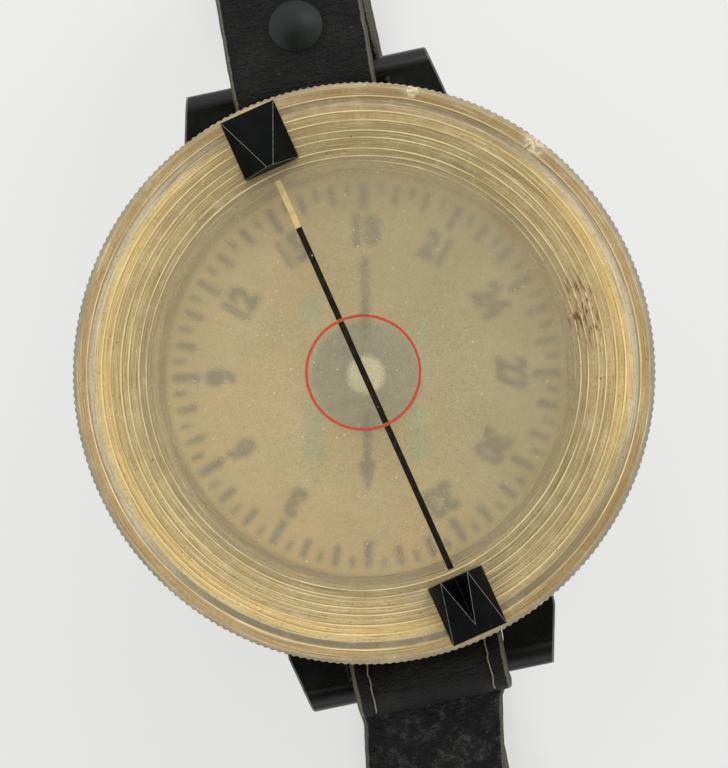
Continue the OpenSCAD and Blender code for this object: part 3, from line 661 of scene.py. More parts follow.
@dataclass(frozen=True)
class DarkGloss(Finish):
    """Moulded black plastic or black paint, scuffed, with pale edges where they are marked: wear, and on the
    left edges of the sights a painted highlight as well.
    """

    name: str
    colour: Rgb
    worn: Rgb
    rough: float = 0.22
    scale: float = 0.6
    wear: float = 0.6
    patch: float = 0.15
    sheen: float = 0.5

    def surface(self, graph: Graph) -> Socket:
        """Black gloss with uneven polish, scratches, dust and pale edges."""
        point = graph.place()
        value = Effects.clouds(graph, point, self.scale * 0.4, 0.5)
        scuffs = graph.group(Effects.scuffs(), Point=point, Scale=self.scale, Amount=0.7)
        edge = graph.group(Effects.worn_edge(), Point=point, Edge=graph.attribute("edge"),
                           Scale=self.scale * 1.5, Amount=self.wear)
        colour = graph.mix(graph.spread(value, 0.45, 0.9, 0.0, self.patch), self.colour, self.worn)
        light = graph.most(scuffs.outputs["Dust"], scuffs.outputs["Scratches"])
        light = graph.most(graph.times(light, self.patch), edge.outputs["Mask"])
        colour = graph.mix(light, colour, self.worn)
        rough = graph.spread(value, 0.2, 0.85, self.rough, self.rough + 0.2)
        normal = graph.bump(graph.noise(point, self.scale * 8, 4, 0.6), 0.008, 0.5)
        return self.plain(graph, Base_Color=colour, Roughness=rough, Normal=normal, IOR=1.5,
                          Specular_IOR_Level=self.sheen)


@dataclass(frozen=True)
class Paint(Finish):
    """A thin coat of paint or ink, patchy and a little rubbed."""

    name: str
    colour: Rgb
    faded: Rgb
    rough: float = 0.5
    scale: float = 1.5
    patch_low: float = 0.45
    patch_high: float = 0.75
    fine: float = 0.9
    sheen: float = 0.4

    def surface(self, graph: Graph) -> Socket:
        """Paint with faded patches and fine grain."""
        point = graph.place()
        value = Effects.clouds(graph, point, self.scale, self.fine)
        colour = graph.mix(graph.spread(value, self.patch_low, self.patch_high), self.colour, self.faded)
        normal = graph.bump(graph.noise(point, self.scale * 9, 3), 0.01, 0.5)
        rough = graph.spread(value, 0.2, 0.8, self.rough - 0.08, self.rough + 0.12)
        return self.plain(graph, Base_Color=colour, Roughness=rough, Normal=normal,
                          Specular_IOR_Level=self.sheen)


@dataclass(frozen=True)
class CardPaint(Finish):
    """The cream face of the card, stained, with the magnets showing faintly through it."""

    name: str = "card_face"
    turn: float = 11.0
    magnet_x: float = 5.4
    magnet_half: float = 1.15
    magnet_reach: float = 9.25
    magnet_soft: float = 0.5
    grey_at: float = 15.0
    grey_from: float = -8.0
    grey_full: float = 12.0
    creams: Stops = ((0.3, srgb(198, 189, 144)), (0.5, srgb(210, 191, 144)), (0.72, srgb(219, 190, 141)))
    grey: Rgb = srgb(160, 158, 129)
    magnet: Rgb = srgb(160, 184, 170)
    speck: Rgb = srgb(84, 74, 56)
    grain: Rgb = srgb(140, 126, 88)

    def magnets(self, graph: Graph, point: Socket) -> Socket:
        """Marks the patches where the two magnets show through."""
        turned = graph.add("ShaderNodeVectorRotate", {"rotation_type": "Z_AXIS"}, Vector=point,
                           Angle=math.radians(self.turn))
        parts = graph.add("ShaderNodeSeparateXYZ", Vector=turned.outputs[0])
        side = graph.math("SUBTRACT", graph.math("ABSOLUTE", parts.outputs["X"]), self.magnet_x)
        across = graph.spread(graph.math("ABSOLUTE", side), self.magnet_half - self.magnet_soft,
                              self.magnet_half + self.magnet_soft, 1.0, 0.0)
        along = graph.spread(graph.math("ABSOLUTE", parts.outputs["Y"]), self.magnet_reach - 1,
                             self.magnet_reach, 1.0, 0.0)
        patchy = graph.spread(graph.noise(point, 0.22, 3), 0.34, 0.52)
        return graph.times(across, along, 0.85, patchy)

    def surface(self, graph: Graph) -> Socket:
        """Cream paint with warm stains, a grey side and the tint of the magnets."""
        point = graph.place()
        value = Effects.clouds(graph, point, 0.06, 0.25)
        colour = graph.ramp(value, self.creams)
        aim = math.radians(self.grey_at)
        lean = graph.vector("DOT_PRODUCT", point, (math.cos(aim), math.sin(aim), 0.0)).outputs["Value"]
        colour = graph.mix(graph.spread(lean, self.grey_from, self.grey_full, 0.0, 0.9), colour, self.grey)
        colour = graph.mix(self.magnets(graph, point), colour, self.magnet)
        specks = graph.spread(graph.cells(point, 0.42), 0.05, 0.09, 1.0, 0.0)
        colour = graph.mix(graph.times(specks, 0.8), colour, self.speck)
        grain = graph.noise(point, 4.0, 4, 0.7)
        colour = graph.mix(graph.spread(grain, 0.5, 0.7, 0.0, 0.45), colour, self.grain)
        return self.plain(graph, Base_Color=colour, Roughness=graph.spread(value, 0.2, 0.8, 0.55, 0.75),
                          Normal=graph.bump(grain, 0.02, 0.5))


@dataclass(frozen=True)
class Metal(Finish):
    """Bare or plated metal with patches of tarnish and fine scratches."""

    name: str
    colour: Rgb
    tarnish: Rgb
    rough: float = 0.3
    scale: float = 0.8

    def surface(self, graph: Graph) -> Socket:
        """Metal that is brighter where it is rubbed and dull in the rest."""
        point = graph.place()
        value = Effects.clouds(graph, point, self.scale * 0.5, 0.6)
        scuffs = graph.group(Effects.scuffs(), Point=point, Scale=self.scale * 2, Amount=0.8)
        colour = graph.mix(graph.spread(value, 0.4, 0.75), self.colour, self.tarnish)
        rough = graph.spread(value, 0.2, 0.8, self.rough, self.rough + 0.22)
        normal = graph.bump(scuffs.outputs["Scratches"], 0.01, 0.5)
        return self.plain(graph, Base_Color=colour, Roughness=rough, Normal=normal, Metallic=1.0)


@dataclass(frozen=True)
class Rubber(Finish):
    """Seal rubber or fibre, dull and finely grained, which may let some light pass."""

    name: str
    colour: Rgb
    bloom: Rgb
    glow: Rgb = srgb(252, 246, 230)
    through: float = 0.0

    def surface(self, graph: Graph) -> Socket:
        """Dull colour with a pale bloom."""
        point = graph.place()
        value = Effects.clouds(graph, point, 0.6, 0.8)
        colour = graph.mix(graph.spread(value, 0.45, 0.8), self.colour, self.bloom)
        normal = graph.bump(graph.noise(point, 6.0), 0.03, 0.6)
        shader = self.plain(graph, Base_Color=colour, Roughness=0.8, Normal=normal)
        return self.lit_through(graph, shader, self.glow, self.through) if self.through else shader


@dataclass(frozen=True)
class Leather(Finish):
    """One face of the strap: black leather, rubbed pale along the corners of its edges."""

    name: str
    dark: Rgb
    pale: Rgb
    rubbed: Rgb
    grain: float
    depth: float
    rough: float
    half: float
    crease: float = 0.5
    shiny: float = 0.0
    # Centre and radius of the painted shadow round a stud; far off when there is none.
    stud_shadow_at: Point3 = (0.0, 0.0, 500.0)
    stud_shadow_r: float = 3.2
    patch: float = 0.3
    sheen: float = 0.16
    valley: Rgb = srgb(8, 8, 8)
    stud_shadow: Rgb = srgb(10, 10, 10)

    def surface(self, graph: Graph) -> Socket:
        """Pebbled or fibrous leather with patches, wrinkles, worn corners and a painted shadow round a stud.
        """
        point = graph.place()
        uv = graph.add("ShaderNodeUVMap", {"uv_map": "strap"}).outputs[0]
        across = graph.math("ABSOLUTE", graph.add("ShaderNodeSeparateXYZ", Vector=uv).outputs["X"])
        inside = graph.times(graph.math("SUBTRACT", 1.0, across), self.half)
        grain = graph.group(Effects.pebbled(), Point=point, Scale=self.grain, Crease=self.crease)
        value = Effects.clouds(graph, point, self.patch, 0.8)
        corner = graph.spread(inside, 0.14, 0.6, 1.0, 0.0)
        edge = graph.group(Effects.worn_edge(), Point=point, Scale=0.8, Amount=0.85, Edge=corner)
        scuffs = graph.group(Effects.scuffs(), Point=point, Scale=0.8, Amount=0.7)
        colour = graph.mix(graph.spread(value, 0.46, 0.8), self.dark, self.pale)
        colour = graph.mix(graph.times(grain.outputs["Valley"], 0.5), colour, self.valley)
        colour = graph.mix(graph.times(scuffs.outputs["Scratches"], 0.07), colour, self.rubbed)
        colour = graph.mix(graph.times(edge.outputs["Mask"], 0.75), colour, self.rubbed)
        # Painted shadow in a ring round the stud, where its head shades the leather.
        away = graph.vector("DISTANCE", point, self.stud_shadow_at).outputs["Value"]
        colour = graph.mix(graph.spread(away, self.stud_shadow_r, self.stud_shadow_r + 0.5, 0.8, 0.0), colour, self.stud_shadow)
        polish = graph.times(graph.spread(value, 0.5, 0.7), self.shiny)
        rough = graph.math("SUBTRACT", graph.spread(value, 0.25, 0.8, self.rough, self.rough + 0.12), polish)
        folds = graph.noise(graph.scaled(point, (0.5, 1.6, 1.6)), 1.4, 5, 0.6)
        normal = graph.bump(grain.outputs["Height"], self.depth, 0.7, graph.bump(folds, 0.5, self.crease))
        return self.plain(graph, Base_Color=colour, Roughness=rough, Normal=normal,
                          Specular_IOR_Level=self.sheen)


@dataclass(frozen=True)
class TableTop(Finish):
    """The pale table, which shows partly by its own light and partly by that of the room."""

    name: str = "table_top"
    clouds: Stops = ((0.3, (0.80, 0.80, 0.795)), (0.7, (0.83, 0.83, 0.825)))
    plain_white: Rgb = (0.83, 0.83, 0.82)
    even: float = 0.55

    def surface(self, graph: Graph) -> Socket:
        """Nearly white, with faint clouds."""
        colour = graph.ramp(Effects.clouds(graph, graph.place(), 0.012, 0.1), self.clouds)
        shader = self.plain(graph, Base_Color=colour, Roughness=0.6, Specular_IOR_Level=0.2)
        path = graph.add("ShaderNodeLightPath").outputs
        seen = graph.most(path["Is Camera Ray"], path["Is Glossy Ray"], path["Is Transmission Ray"])
        lit = graph.add("ShaderNodeEmission", Color=self.plain_white, Strength=1.0)
        return graph.blend(graph.times(seen, self.even), shader, lit.outputs[0])


def linked(name: str, data: bpy.types.ID) -> Piece:
    """Puts new data into the scene as an object."""
    thing = bpy.data.objects.new(name, data)
    bpy.context.scene.collection.objects.link(thing)
    return thing


def spun(thing: Piece, angle: float) -> Piece:
    """Turns a piece about the compass axis by an angle in radians."""
    thing.data.transform(Matrix.Rotation(angle, 4, "Z"))
    return thing


class Mesh:
    """Helpers that turn points and outlines into pieces of the object."""

    @staticmethod
    def piece(name: str, points: Sequence[Vector], faces: Sequence[Sequence[int]]) -> Piece:
        """Makes a closed mesh piece at the origin, with its faces turned outwards.

        Args:
            name: Name of the piece.
            points: Points in millimetres, in the frame of the part.
            faces: Point numbers of each face.

        Returns:
            The new object.
        """
        mesh = bpy.data.meshes.new(name)
        mesh.from_pydata([tuple(Vector(p) * MM) for p in points], [], [tuple(f) for f in faces])
        return Mesh.closed(name, mesh)

    @staticmethod
    def closed(name: str, mesh: bpy.types.Mesh) -> Piece:
        """Merges a mesh's doubles, turns its faces outwards and links it as a piece."""
        work = bmesh.new()
        work.from_mesh(mesh)
        bmesh.ops.remove_doubles(work, verts=work.verts, dist=1e-8)
        bmesh.ops.recalc_face_normals(work, faces=work.faces)
        work.to_mesh(mesh)
        work.free()
        thing = linked(name, mesh)
        Mesh.smooth(thing)
        return thing

    @staticmethod
    def smooth(thing: Piece, degrees: float = 32.0) -> None:
        """Shades a piece smooth, apart from edges sharper than an angle."""
        thing.data.shade_smooth()
        thing.data.set_sharp_from_angle(angle=math.radians(degrees))

    @staticmethod
    def baked(thing: Piece) -> Piece:
        """Turns a piece with modifiers into the plain mesh that they make."""
        bpy.context.view_layer.update()
        evaluated = thing.evaluated_get(bpy.context.evaluated_depsgraph_get())
        mesh = bpy.data.meshes.new_from_object(evaluated)
        thing.modifiers.clear()
        thing.data = mesh
        return thing

    @staticmethod
    def swept(name: str, rings: Sequence[Sequence[Vector]], closed: bool = False) -> Piece:
        """Joins rings of points into a skin, with a cap at each end unless it closes on itself.

        Args:
            name: Name of the piece.
            rings: Rings of as many points each, in order, in millimetres.
            closed: Whether the last ring joins the first.

        Returns:
            The new piece.
        """
        count = len(rings[0])
        points = [point for ring in rings for point in ring]
        last = len(rings) if closed else len(rings) - 1
        faces: list[Sequence[int]] = []
        for i in range(last):
            here, there = i * count, ((i + 1) % len(rings)) * count
            for j in range(count):
                after = (j + 1) % count
                faces.append((here + j, here + after, there + after, there + j))
        if not closed:
            faces += [range(count), range(len(points) - count, len(points))]
        return Mesh.piece(name, points, faces)

    @staticmethod
    def lathe(name: str, outline: Sequence[Point2], steps: int = 192) -> Piece:
        """Turns a closed outline of radius and height about the compass axis."""
        rings = []
        for i in range(steps):
            turn = Matrix.Rotation(math.tau * i / steps, 3, "Z")
            rings.append([turn @ Vector((radius, 0, height)) for radius, height in outline])
        return Mesh.swept(name, rings, closed=True)

    @staticmethod
    def box(name: str, low: Sequence[float], high: Sequence[float]) -> Piece:
        """Makes a cutter with square corners."""
        points = [Vector(corner) for corner in product(*zip(low, high))]
        faces = [(0, 1, 3, 2), (4, 6, 7, 5), (0, 4, 5, 1), (2, 3, 7, 6), (0, 2, 6, 4), (1, 5, 7, 3)]
        return Mesh.piece(name, points, faces)

    @staticmethod
    def rod(name: str, radius: float, reach: float, place: Matrix, steps: int = 32) -> Piece:
        """Makes a round cutter of a reach to both sides of its place, along its own Z."""
        rings = []
        for height in (-reach, reach):
            turns = (math.tau * i / steps for i in range(steps))
            ring = (Vector((radius * math.cos(a), radius * math.sin(a), height)) for a in turns)
            rings.append([place @ point for point in ring])
        return Mesh.swept(name, rings)

    @staticmethod
    def cut(thing: Piece, *cutters: Piece) -> Piece:
        """Cuts other pieces out of a piece and uses them up."""
        for cutter in cutters:
            modifier = thing.modifiers.new(cutter.name, "BOOLEAN")
            modifier.operation = "DIFFERENCE"
            modifier.solver = "EXACT"
            modifier.object = cutter
        Mesh.baked(thing)
        for cutter in cutters:
            bpy.data.objects.remove(cutter)
        return thing

    @staticmethod
    def joined(name: str, pieces: Sequence[Piece]) -> Piece:
        """Joins pieces of one finish into one piece and uses them up."""
        work = bmesh.new()
        for thing in pieces:
            work.from_mesh(thing.data)
        mesh = bpy.data.meshes.new(name)
        work.to_mesh(mesh)
        work.free()
        for thing in pieces:
            bpy.data.objects.remove(thing)
        whole = linked(name, mesh)
        Mesh.smooth(whole)
        return whole

    @staticmethod
    def eased(thing: Piece, width: float, material: int = -1) -> None:
        """Eases the sharp edges of a solid that stays as it is, after merging its loose corners.

        Args:
            thing: The solid.
            width: Width of the eased edges in millimetres.
            material: Number of the edges' own material, or -1 for that of their faces.
        """
        weld = thing.modifiers.new("weld", "WELD")
        weld.merge_threshold = WELD_GAP
        bevel = thing.modifiers.new("eased_edges", "BEVEL")
        bevel.width = width * MM
        bevel.segments = 3
        bevel.material = material
        bevel.limit_method = "ANGLE"
        bevel.angle_limit = math.radians(EASED_FROM)
        bevel.harden_normals = True
        bevel.use_clamp_overlap = False


class Pattern:
    """Rules for what repeats: each is a Geometry Nodes tree that is run once and left as a plain mesh."""

    @staticmethod
    def tree(name: str, **sizes: str) -> Started:
        """Starts a tree that takes a piece and some values of the given kinds."""
        return Graph.started(name, "GeometryNodeTree", {"Geometry": "Geometry"} | sizes,
                             {"Geometry": "Geometry"})

    @staticmethod
    def end(graph: Graph, sink: Node, shape: Socket, finish: Socket) -> None:
        """Gives what a rule has made its finish and puts it out."""
        dressed = graph.add("GeometryNodeSetMaterial", Geometry=shape, Material=finish)
        graph.feed(sink.inputs["Geometry"], dressed.outputs[0])

    @staticmethod
    def run(thing: Piece, tree: Tree, **values: object) -> Piece:
        """Runs a rule on a piece and leaves the mesh that it makes."""
        modifier = thing.modifiers.new(tree.name, "NODES")
        modifier.node_group = tree
        for item in tree.interface.items_tree:
            if item.in_out == "INPUT" and item.name in values:
                modifier[item.identifier] = values[item.name]
        return Mesh.baked(thing)

    @staticmethod
    def start(name: str, points: Sequence[Vector] = (),
              edges: Sequence[tuple[int, int]] = ()) -> Piece:
        """Makes an empty piece, or a line of points in millimetres, for a rule to start from."""
        mesh = bpy.data.meshes.new(name)
        mesh.from_pydata([tuple(Vector(p) * MM) for p in points], list(edges), [])
        return linked(name, mesh)

    @staticmethod
    @cache
    def knurl() -> Tree:
        """Presses teeth into the outer wall of a turned ring."""
        graph, given, sink = Pattern.tree("knurl", Teeth="Int", Depth="Float", Wall="Float", Low="Float",
                                          High="Float")
        place = graph.add("GeometryNodeInputPosition").outputs[0]
        radius, angle = graph.polar(place)
        height = graph.add("ShaderNodeSeparateXYZ", Vector=place).outputs["Z"]
        wave = graph.math("COSINE", graph.times(angle, given["Teeth"]))
        lift = graph.times(graph.math("MULTIPLY_ADD", wave, 0.5, 0.5), given["Depth"])
        inside = graph.times(graph.math("GREATER_THAN", height, given["Low"]),
                             graph.math("LESS_THAN", height, given["High"]),
                             graph.math("GREATER_THAN", radius, given["Wall"]))
        share = graph.math("DIVIDE", graph.times(lift, inside), radius)
        outward = graph.sized(graph.scaled(place, (1, 1, 0)), share)
        moved = graph.add("GeometryNodeSetPosition", Geometry=given["Geometry"], Offset=outward)
        whole = graph.add("GeometryNodeRealizeInstances", Geometry=moved.outputs[0])
        graph.feed(sink.inputs["Geometry"], whole.outputs[0])
        return graph.tree

    @staticmethod
    @cache
    def dial_marks() -> Tree:
        """Sets marks of one size round a dial."""
        graph, given, sink = Pattern.tree("dial marks", Count="Int", Radius="Float", Length="Float",
                                          Width="Float", Height="Float", Level="Float", Turn="Float",
                                          Finish="Material")
        circle = graph.add("GeometryNodeMeshCircle", Vertices=given["Count"], Radius=given["Radius"])
        size = graph.add("ShaderNodeCombineXYZ", X=given["Length"], Y=given["Width"], Z=given["Height"])
        mark = graph.add("GeometryNodeMeshCube", Size=size.outputs[0])
        step = graph.math("DIVIDE", math.tau, given["Count"])
        turn = graph.times(graph.add("GeometryNodeInputIndex").outputs[0], step)
        facing = graph.add("ShaderNodeCombineXYZ", Z=turn)
        marks = graph.add("GeometryNodeInstanceOnPoints", Points=circle.outputs[0], Instance=mark.outputs[0],
                          Rotation=facing.outputs[0])
        whole = graph.add("GeometryNodeRealizeInstances", Geometry=marks.outputs[0])
        lift = graph.add("ShaderNodeCombineXYZ", Z=given["Level"])
        spin = graph.add("ShaderNodeCombineXYZ", Z=given["Turn"])
        set_down = graph.add("GeometryNodeTransform", Geometry=whole.outputs[0], Translation=lift.outputs[0],
                             Rotation=spin.outputs[0])
        Pattern.end(graph, sink, set_down.outputs[0], given["Finish"])
        return graph.tree

    @staticmethod
    @cache
    def threads() -> Tree:
        """Lays a thin loose thread along each line, with small bends in it."""
        graph, given, sink = Pattern.tree("threads", Step="Float", Thick="Float", Stray="Float",
                                          Bends="Float", Finish="Material")
        line = graph.add("GeometryNodeMeshToCurve", Mesh=given["Geometry"])
        evened = graph.add("GeometryNodeResampleCurve", {"mode": "LENGTH"}, Curve=line.outputs[0],
                           Length=given["Step"])
        place = graph.add("GeometryNodeInputPosition").outputs[0]
        wander = graph.add("ShaderNodeTexNoise", Vector=place, Scale=given["Bends"], Detail=2.0)
        centred = graph.vector("SUBTRACT", wander.outputs["Color"], (0.5, 0.5, 0.5))
        stray = graph.sized(centred.outputs[0], given["Stray"])
        bent = graph.add("GeometryNodeSetPosition", Geometry=evened.outputs[0], Offset=stray)
        section = graph.add("GeometryNodeCurvePrimitiveCircle", Resolution=8, Radius=given["Thick"])
        thread = graph.add("GeometryNodeCurveToMesh", Curve=bent.outputs[0], Fill_Caps=True,
                           Profile_Curve=section.outputs[0])
        whole = graph.add("GeometryNodeRealizeInstances", Geometry=thread.outputs[0])
        Pattern.end(graph, sink, whole.outputs[0], given["Finish"])
        return graph.tree

    @staticmethod
    @cache
    def flecks() -> Tree:
        """Scatters small flat flecks over a surface."""
        graph, given, sink = Pattern.tree("flecks", Density="Float", Small="Float", Large="Float",
                                          Flat="Float", Seed="Int", Finish="Material")
        spots = graph.add("GeometryNodeDistributePointsOnFaces", Mesh=given["Geometry"],
                          Density=given["Density"], Seed=given["Seed"])
        fleck = graph.add("GeometryNodeMeshIcoSphere", Radius=0.5, Subdivisions=1)
        seeds = (given["Seed"], graph.math("ADD", given["Seed"], 7), graph.math("ADD", given["Seed"], 3))
        wide, deep, turn = (graph.add("FunctionNodeRandomValue", {"data_type": "FLOAT"}, Seed=seed)
                            for seed in seeds)
        span = graph.math("SUBTRACT", given["Large"], given["Small"])
        spans = []
        for pick in (wide, deep):
            share = graph.math("POWER", pick.outputs["Value"], 3.0)
            spans.append(graph.math("MULTIPLY_ADD", share, span, given["Small"]))
        size = graph.add("ShaderNodeCombineXYZ", X=spans[0], Y=spans[1], Z=given["Flat"])
        facing = graph.add("ShaderNodeCombineXYZ", Z=graph.times(turn.outputs["Value"], math.tau))
        laid = graph.add("GeometryNodeInstanceOnPoints", Points=spots.outputs["Points"],
                         Instance=fleck.outputs[0], Rotation=facing.outputs[0], Scale=size.outputs[0])
        whole = graph.add("GeometryNodeRealizeInstances", Geometry=laid.outputs[0])
        Pattern.end(graph, sink, whole.outputs[0], given["Finish"])
        return graph.tree


def settle(thing: Piece, body: Body, slot: str, finish: Finish | None, *nodes: str) -> None:
    """Gives a finished piece its material and its body, and hides the nodes that it stands for.

    Args:
        thing: The finished piece.
        body: The body that carries it.
        slot: The record's material slot that it takes its finish from. Not used.
        finish: Its finish, or nothing if its faces have theirs already.
        nodes: The CAD nodes that it replaces.
    """
    if finish is not None:
        thing.data.materials.clear()
        thing.data.materials.append(painted(finish))
    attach(thing, body.value)
    if nodes:
        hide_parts(*nodes)
    LOG.info("%s rides on %s", thing.name, body.value)


def dress(finish: Finish, *nodes: str, edge: float = 0.0, edge_finish: Finish | None = None) -> None:
    """Gives solids that stay in view their finish, and eases their edges.

    Args:
        finish: The finish.
        nodes: The solids' names.
        edge: Width of the eased edges in millimetres, or 0 for none.
        edge_finish: The eased edges' own finish, if they have one.
    """
    for node in nodes:
        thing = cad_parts[node]
        thing.data.materials.clear()
        thing.data.materials.append(painted(finish))
        if edge_finish is not None:
            thing.data.materials.append(painted(edge_finish))
        if edge:
            Mesh.eased(thing, edge, len(thing.data.materials) - 1)
        LOG.info("%s keeps its solid", node)


def eased_outline(points: Sequence[Point2], radius: float, steps: int = 3) -> list[Point2]:
    """Rounds the corners of an open outline.

    Args:
        points: Corners of the outline.
        radius: How far each corner is cut back, at most a third of its sides.
        steps: Number of points in place of a corner.

    Returns:
        The eased outline, with its first and last points kept.
    """
    eased = [points[0]]
    for before, corner, after in zip(points, points[1:], points[2:]):
        here = Vector(corner)
        back, on = Vector(before) - here, Vector(after) - here
        start = here + back.normalized() * min(radius, back.length / 3)
        end = here + on.normalized() * min(radius, on.length / 3)
        for i in range(steps):
            t = i / (steps - 1)
            eased.append(tuple(start * (1 - t) ** 2 + here * 2 * t * (1 - t) + end * t ** 2))
    return eased + [points[-1]]


@dataclass
class Bezel:
    """The turning bezel: a knurled ring, a hazy pane with its engraved line, and two sights."""

    turn: float = 12.3
    bore_r: float = 24.4
    low: float = 8.3
    top: float = 19.1
    foot_r: float = 28.3
    foot_edge_r: float = 28.6
    foot_rise: float = 0.1
    wall_r: float = 29.8
    wall_low: float = 9.5
    wall_lean: float = 0.05
    rim_low: float = 18.55
    rim_lean: float = 0.03
    rim_r: float = 29.45
    rim_drop: float = 0.15
    flat_r: float = 29.3
    flat_count: int = 6
    flat_step: float = 0.18
    teeth: int = 246
    tooth: float = 0.15
    knurl_low: float = 9.6
    knurl_high: float = 18.4
    knurl_room: float = 0.02
    groove: float = 0.16
    groove_r: float = 27.6
    groove_w: float = 0.72
    groove_side: float = 0.08
    ridge_r: float = 27.0
    riser: float = 0.05
    ease: float = 0.1
    steps: int = 4
    step_h: float = 0.12
    steps_out: float = 26.4
    steps_in: float = 22.52
    pane_r: float = 22.25
    pane_top: float = 18.62
    pane_low: float = 17.55
    roof_r: float = 23.0
    roof: float = 16.9
    sight_in: float = 22.95
    sight_out: float = 29.35
    sight_half: float = 2.95
    sight_h: float = 3.4
    seat: float = 18.1
    notch_floor: float = 0.17
    front_ridge: float = 0.35
    sight_room: float = 0.05
    sight_ease: float = 0.035
    sharp_from: float = 12.0
    cut_top: float = 30.0
    pane_lines: tuple[Point2, ...] = ((20.9, 0.1), (21.65, 0.2))
    line_room: float = 0.6
    line_sink: float = 0.02
    line_rise: float = 0.03
    dust_r: float = 21.8
    grit_in: float = 22.6
    grit_out: float = 25.4
    grit_rise: float = 0.24
    layer: float = 1e-4
    chip_d: float = 0.35
    chips: tuple[tuple[float, float, float], ...] = ((10.7, 27.3, 1.0), (22.1, 19.4, 1.7))

    def ring_outline(self) -> list[Point2]:
        """Section of the ring, from its bore up the wall and over its turned top."""
        tread = (self.steps_out - self.steps_in) / self.steps
        floor = self.top - self.groove
        wall = [(self.bore_r, self.low), (self.foot_r, self.low),
                (self.foot_edge_r, self.low + self.foot_rise), (self.wall_r - self.wall_lean, self.wall_low),
                (self.wall_r, self.knurl_low), (self.wall_r, self.knurl_high)]
        flat = [(self.flat_r - self.flat_step * i, self.top) for i in range(self.flat_count)]
        top = [(self.wall_r - self.rim_lean, self.rim_low), (self.rim_r, self.top - self.rim_drop), *flat,
               (self.groove_r + self.groove_w, floor), (self.groove_r + self.groove_side, floor),
               (self.groove_r, self.top), (self.ridge_r, self.top)]
        for i in range(self.steps + 1):
            outer, level = self.steps_out - i * tread, self.top - i * self.step_h
            top += [(outer, level), (outer - self.riser, self.top - (i + 1) * self.step_h)]
        top = top[:-1] + [(self.pane_r, self.pane_top), (self.pane_r, self.pane_low),
                          (self.roof_r, self.pane_low), (self.roof_r, self.roof), (self.bore_r, self.roof)]
        return wall + eased_outline(top, self.ease)

    def ring(self) -> None:
        """Turns the ring, knurls its wall, cuts the seats of the sights and chips its rim."""
        ring = Mesh.lathe("bezel_ring_turned", self.ring_outline(), 2 * self.teeth)
        Pattern.run(ring, Pattern.knurl(), Teeth=self.teeth, Depth=self.tooth * MM,
                    Wall=(self.wall_r - self.knurl_room) * MM, Low=(self.knurl_low - self.knurl_room) * MM,
                    High=(self.knurl_high + self.knurl_room) * MM)
        half, room = self.sight_half + self.sight_room, self.sight_room
        low = (-half, self.sight_in - room, self.seat)
        high = (half, self.sight_out + room, self.cut_top)
        Mesh.cut(ring, *(spun(Mesh.box(f"slot_{turn}", low, high), math.radians(self.turn + turn))
                         for turn in (0, 180)))
        self.chip(ring)
        Mesh.smooth(ring, 40)
        settle(ring, Body.BEZEL, "clear_case", MilkyRing(), "bezel_ring")

    def chip(self, ring: Piece) -> None:
        """Breaks small chips out of the rim and marks them for the finish."""
        mark = ring.data.attributes.new("chip", "FLOAT", "POINT")
        for vertex in ring.data.vertices:
            place = vertex.co / MM
            for x, y, size in self.chips:
                away = (Vector((x, y)) - place.xy).length / size
                if away < 1 and place.z > self.top - 1:
                    rough = 0.6 + 0.4 * noise.noise(place * 2.1)
                    vertex.co.z -= self.chip_d * (1 - away) * rough * MM
                    mark.data[vertex.index].value = min(1.0, 2.2 * (1 - away) * rough)

    def sight(self, name: str, turn: float, ridge_half: float, notched: bool, node: str) -> None:
        """Makes a sight: a wedge that falls to the rim, with a ridge or a notch.

        Args:
            name: Name of the piece.
            turn: Direction from the upper strap in degrees.
            ridge_half: Half width of its ridge.
            notched: Whether the ridge has a notch.
            node: The CAD node that it replaces.
        """
        half, near, far, low = self.sight_half, self.sight_in, self.sight_out, self.top
        high, floor = low + self.sight_h, low + self.notch_floor * self.sight_h
        plan = ((-half, near), (half, near), (half, far), (-half, far))
        points = [(x, y, z) for z in (self.seat, low) for x, y in plan]
        points += [(-ridge_half, near, high), (ridge_half, near, high)]
        faces: list[tuple[int, ...]] = [(0, 1, 2, 3), (1, 2, 6, 5), (3, 0, 4, 7), (2, 3, 7, 6), (4, 7, 8),
                                        (5, 6, 9)]
        if notched:
            end = near + (far - near) * (high - floor) / self.sight_h
            points += [(0, near, floor), (0, end, floor)]
            faces += [(0, 1, 5, 9, 10, 8, 4), (8, 10, 11), (9, 10, 11), (7, 8, 11), (6, 9, 11), (6, 7, 11)]
        else:
            faces += [(0, 1, 5, 9, 8, 4), (6, 7, 8, 9)]
        thing = Mesh.piece(name, points, faces)
        self.ease_sight(thing)
        black = DarkGloss("sight_black", srgb(6, 7, 7), srgb(112, 114, 110), rough=0.25, scale=1.2, wear=0.62,
                          patch=0.02, sheen=0.04)
        settle(spun(thing, math.radians(turn)), Body.BEZEL, "sight_black", black, node)

    def ease_sight(self, thing: Piece) -> None:
        """Eases the edges of a sight and marks them for wear, more strongly on the left, where the mark is
        also a painted highlight.
        """
        work = bmesh.new()
        work.from_mesh(thing.data)
        layer = work.faces.layers.float.new("edge")
        least = math.radians(self.sharp_from)
        sharp = [e for e in work.edges if len(e.link_faces) == 2 and e.calc_face_angle() > least
                 and max(v.co.z for v in e.verts) > (self.top - 0.5) * MM]
        made = bmesh.ops.bevel(work, geom=sharp, offset=self.sight_ease * MM, segments=2, profile=0.6,
                               affect="EDGES", clamp_overlap=True)
        for face in made["faces"]:
            low = max(v.co.z for v in face.verts) < (self.top + 0.3) * MM
            # Upper edges are marked more than low ones, and those on the left most, as a painted highlight on
            # top of the wear.
            face[layer] = 0.3 if low else 0.95 if face.calc_center_median().x < 0 else 0.6
        work.to_mesh(thing.data)
        work.free()
        Mesh.smooth(thing, 30)

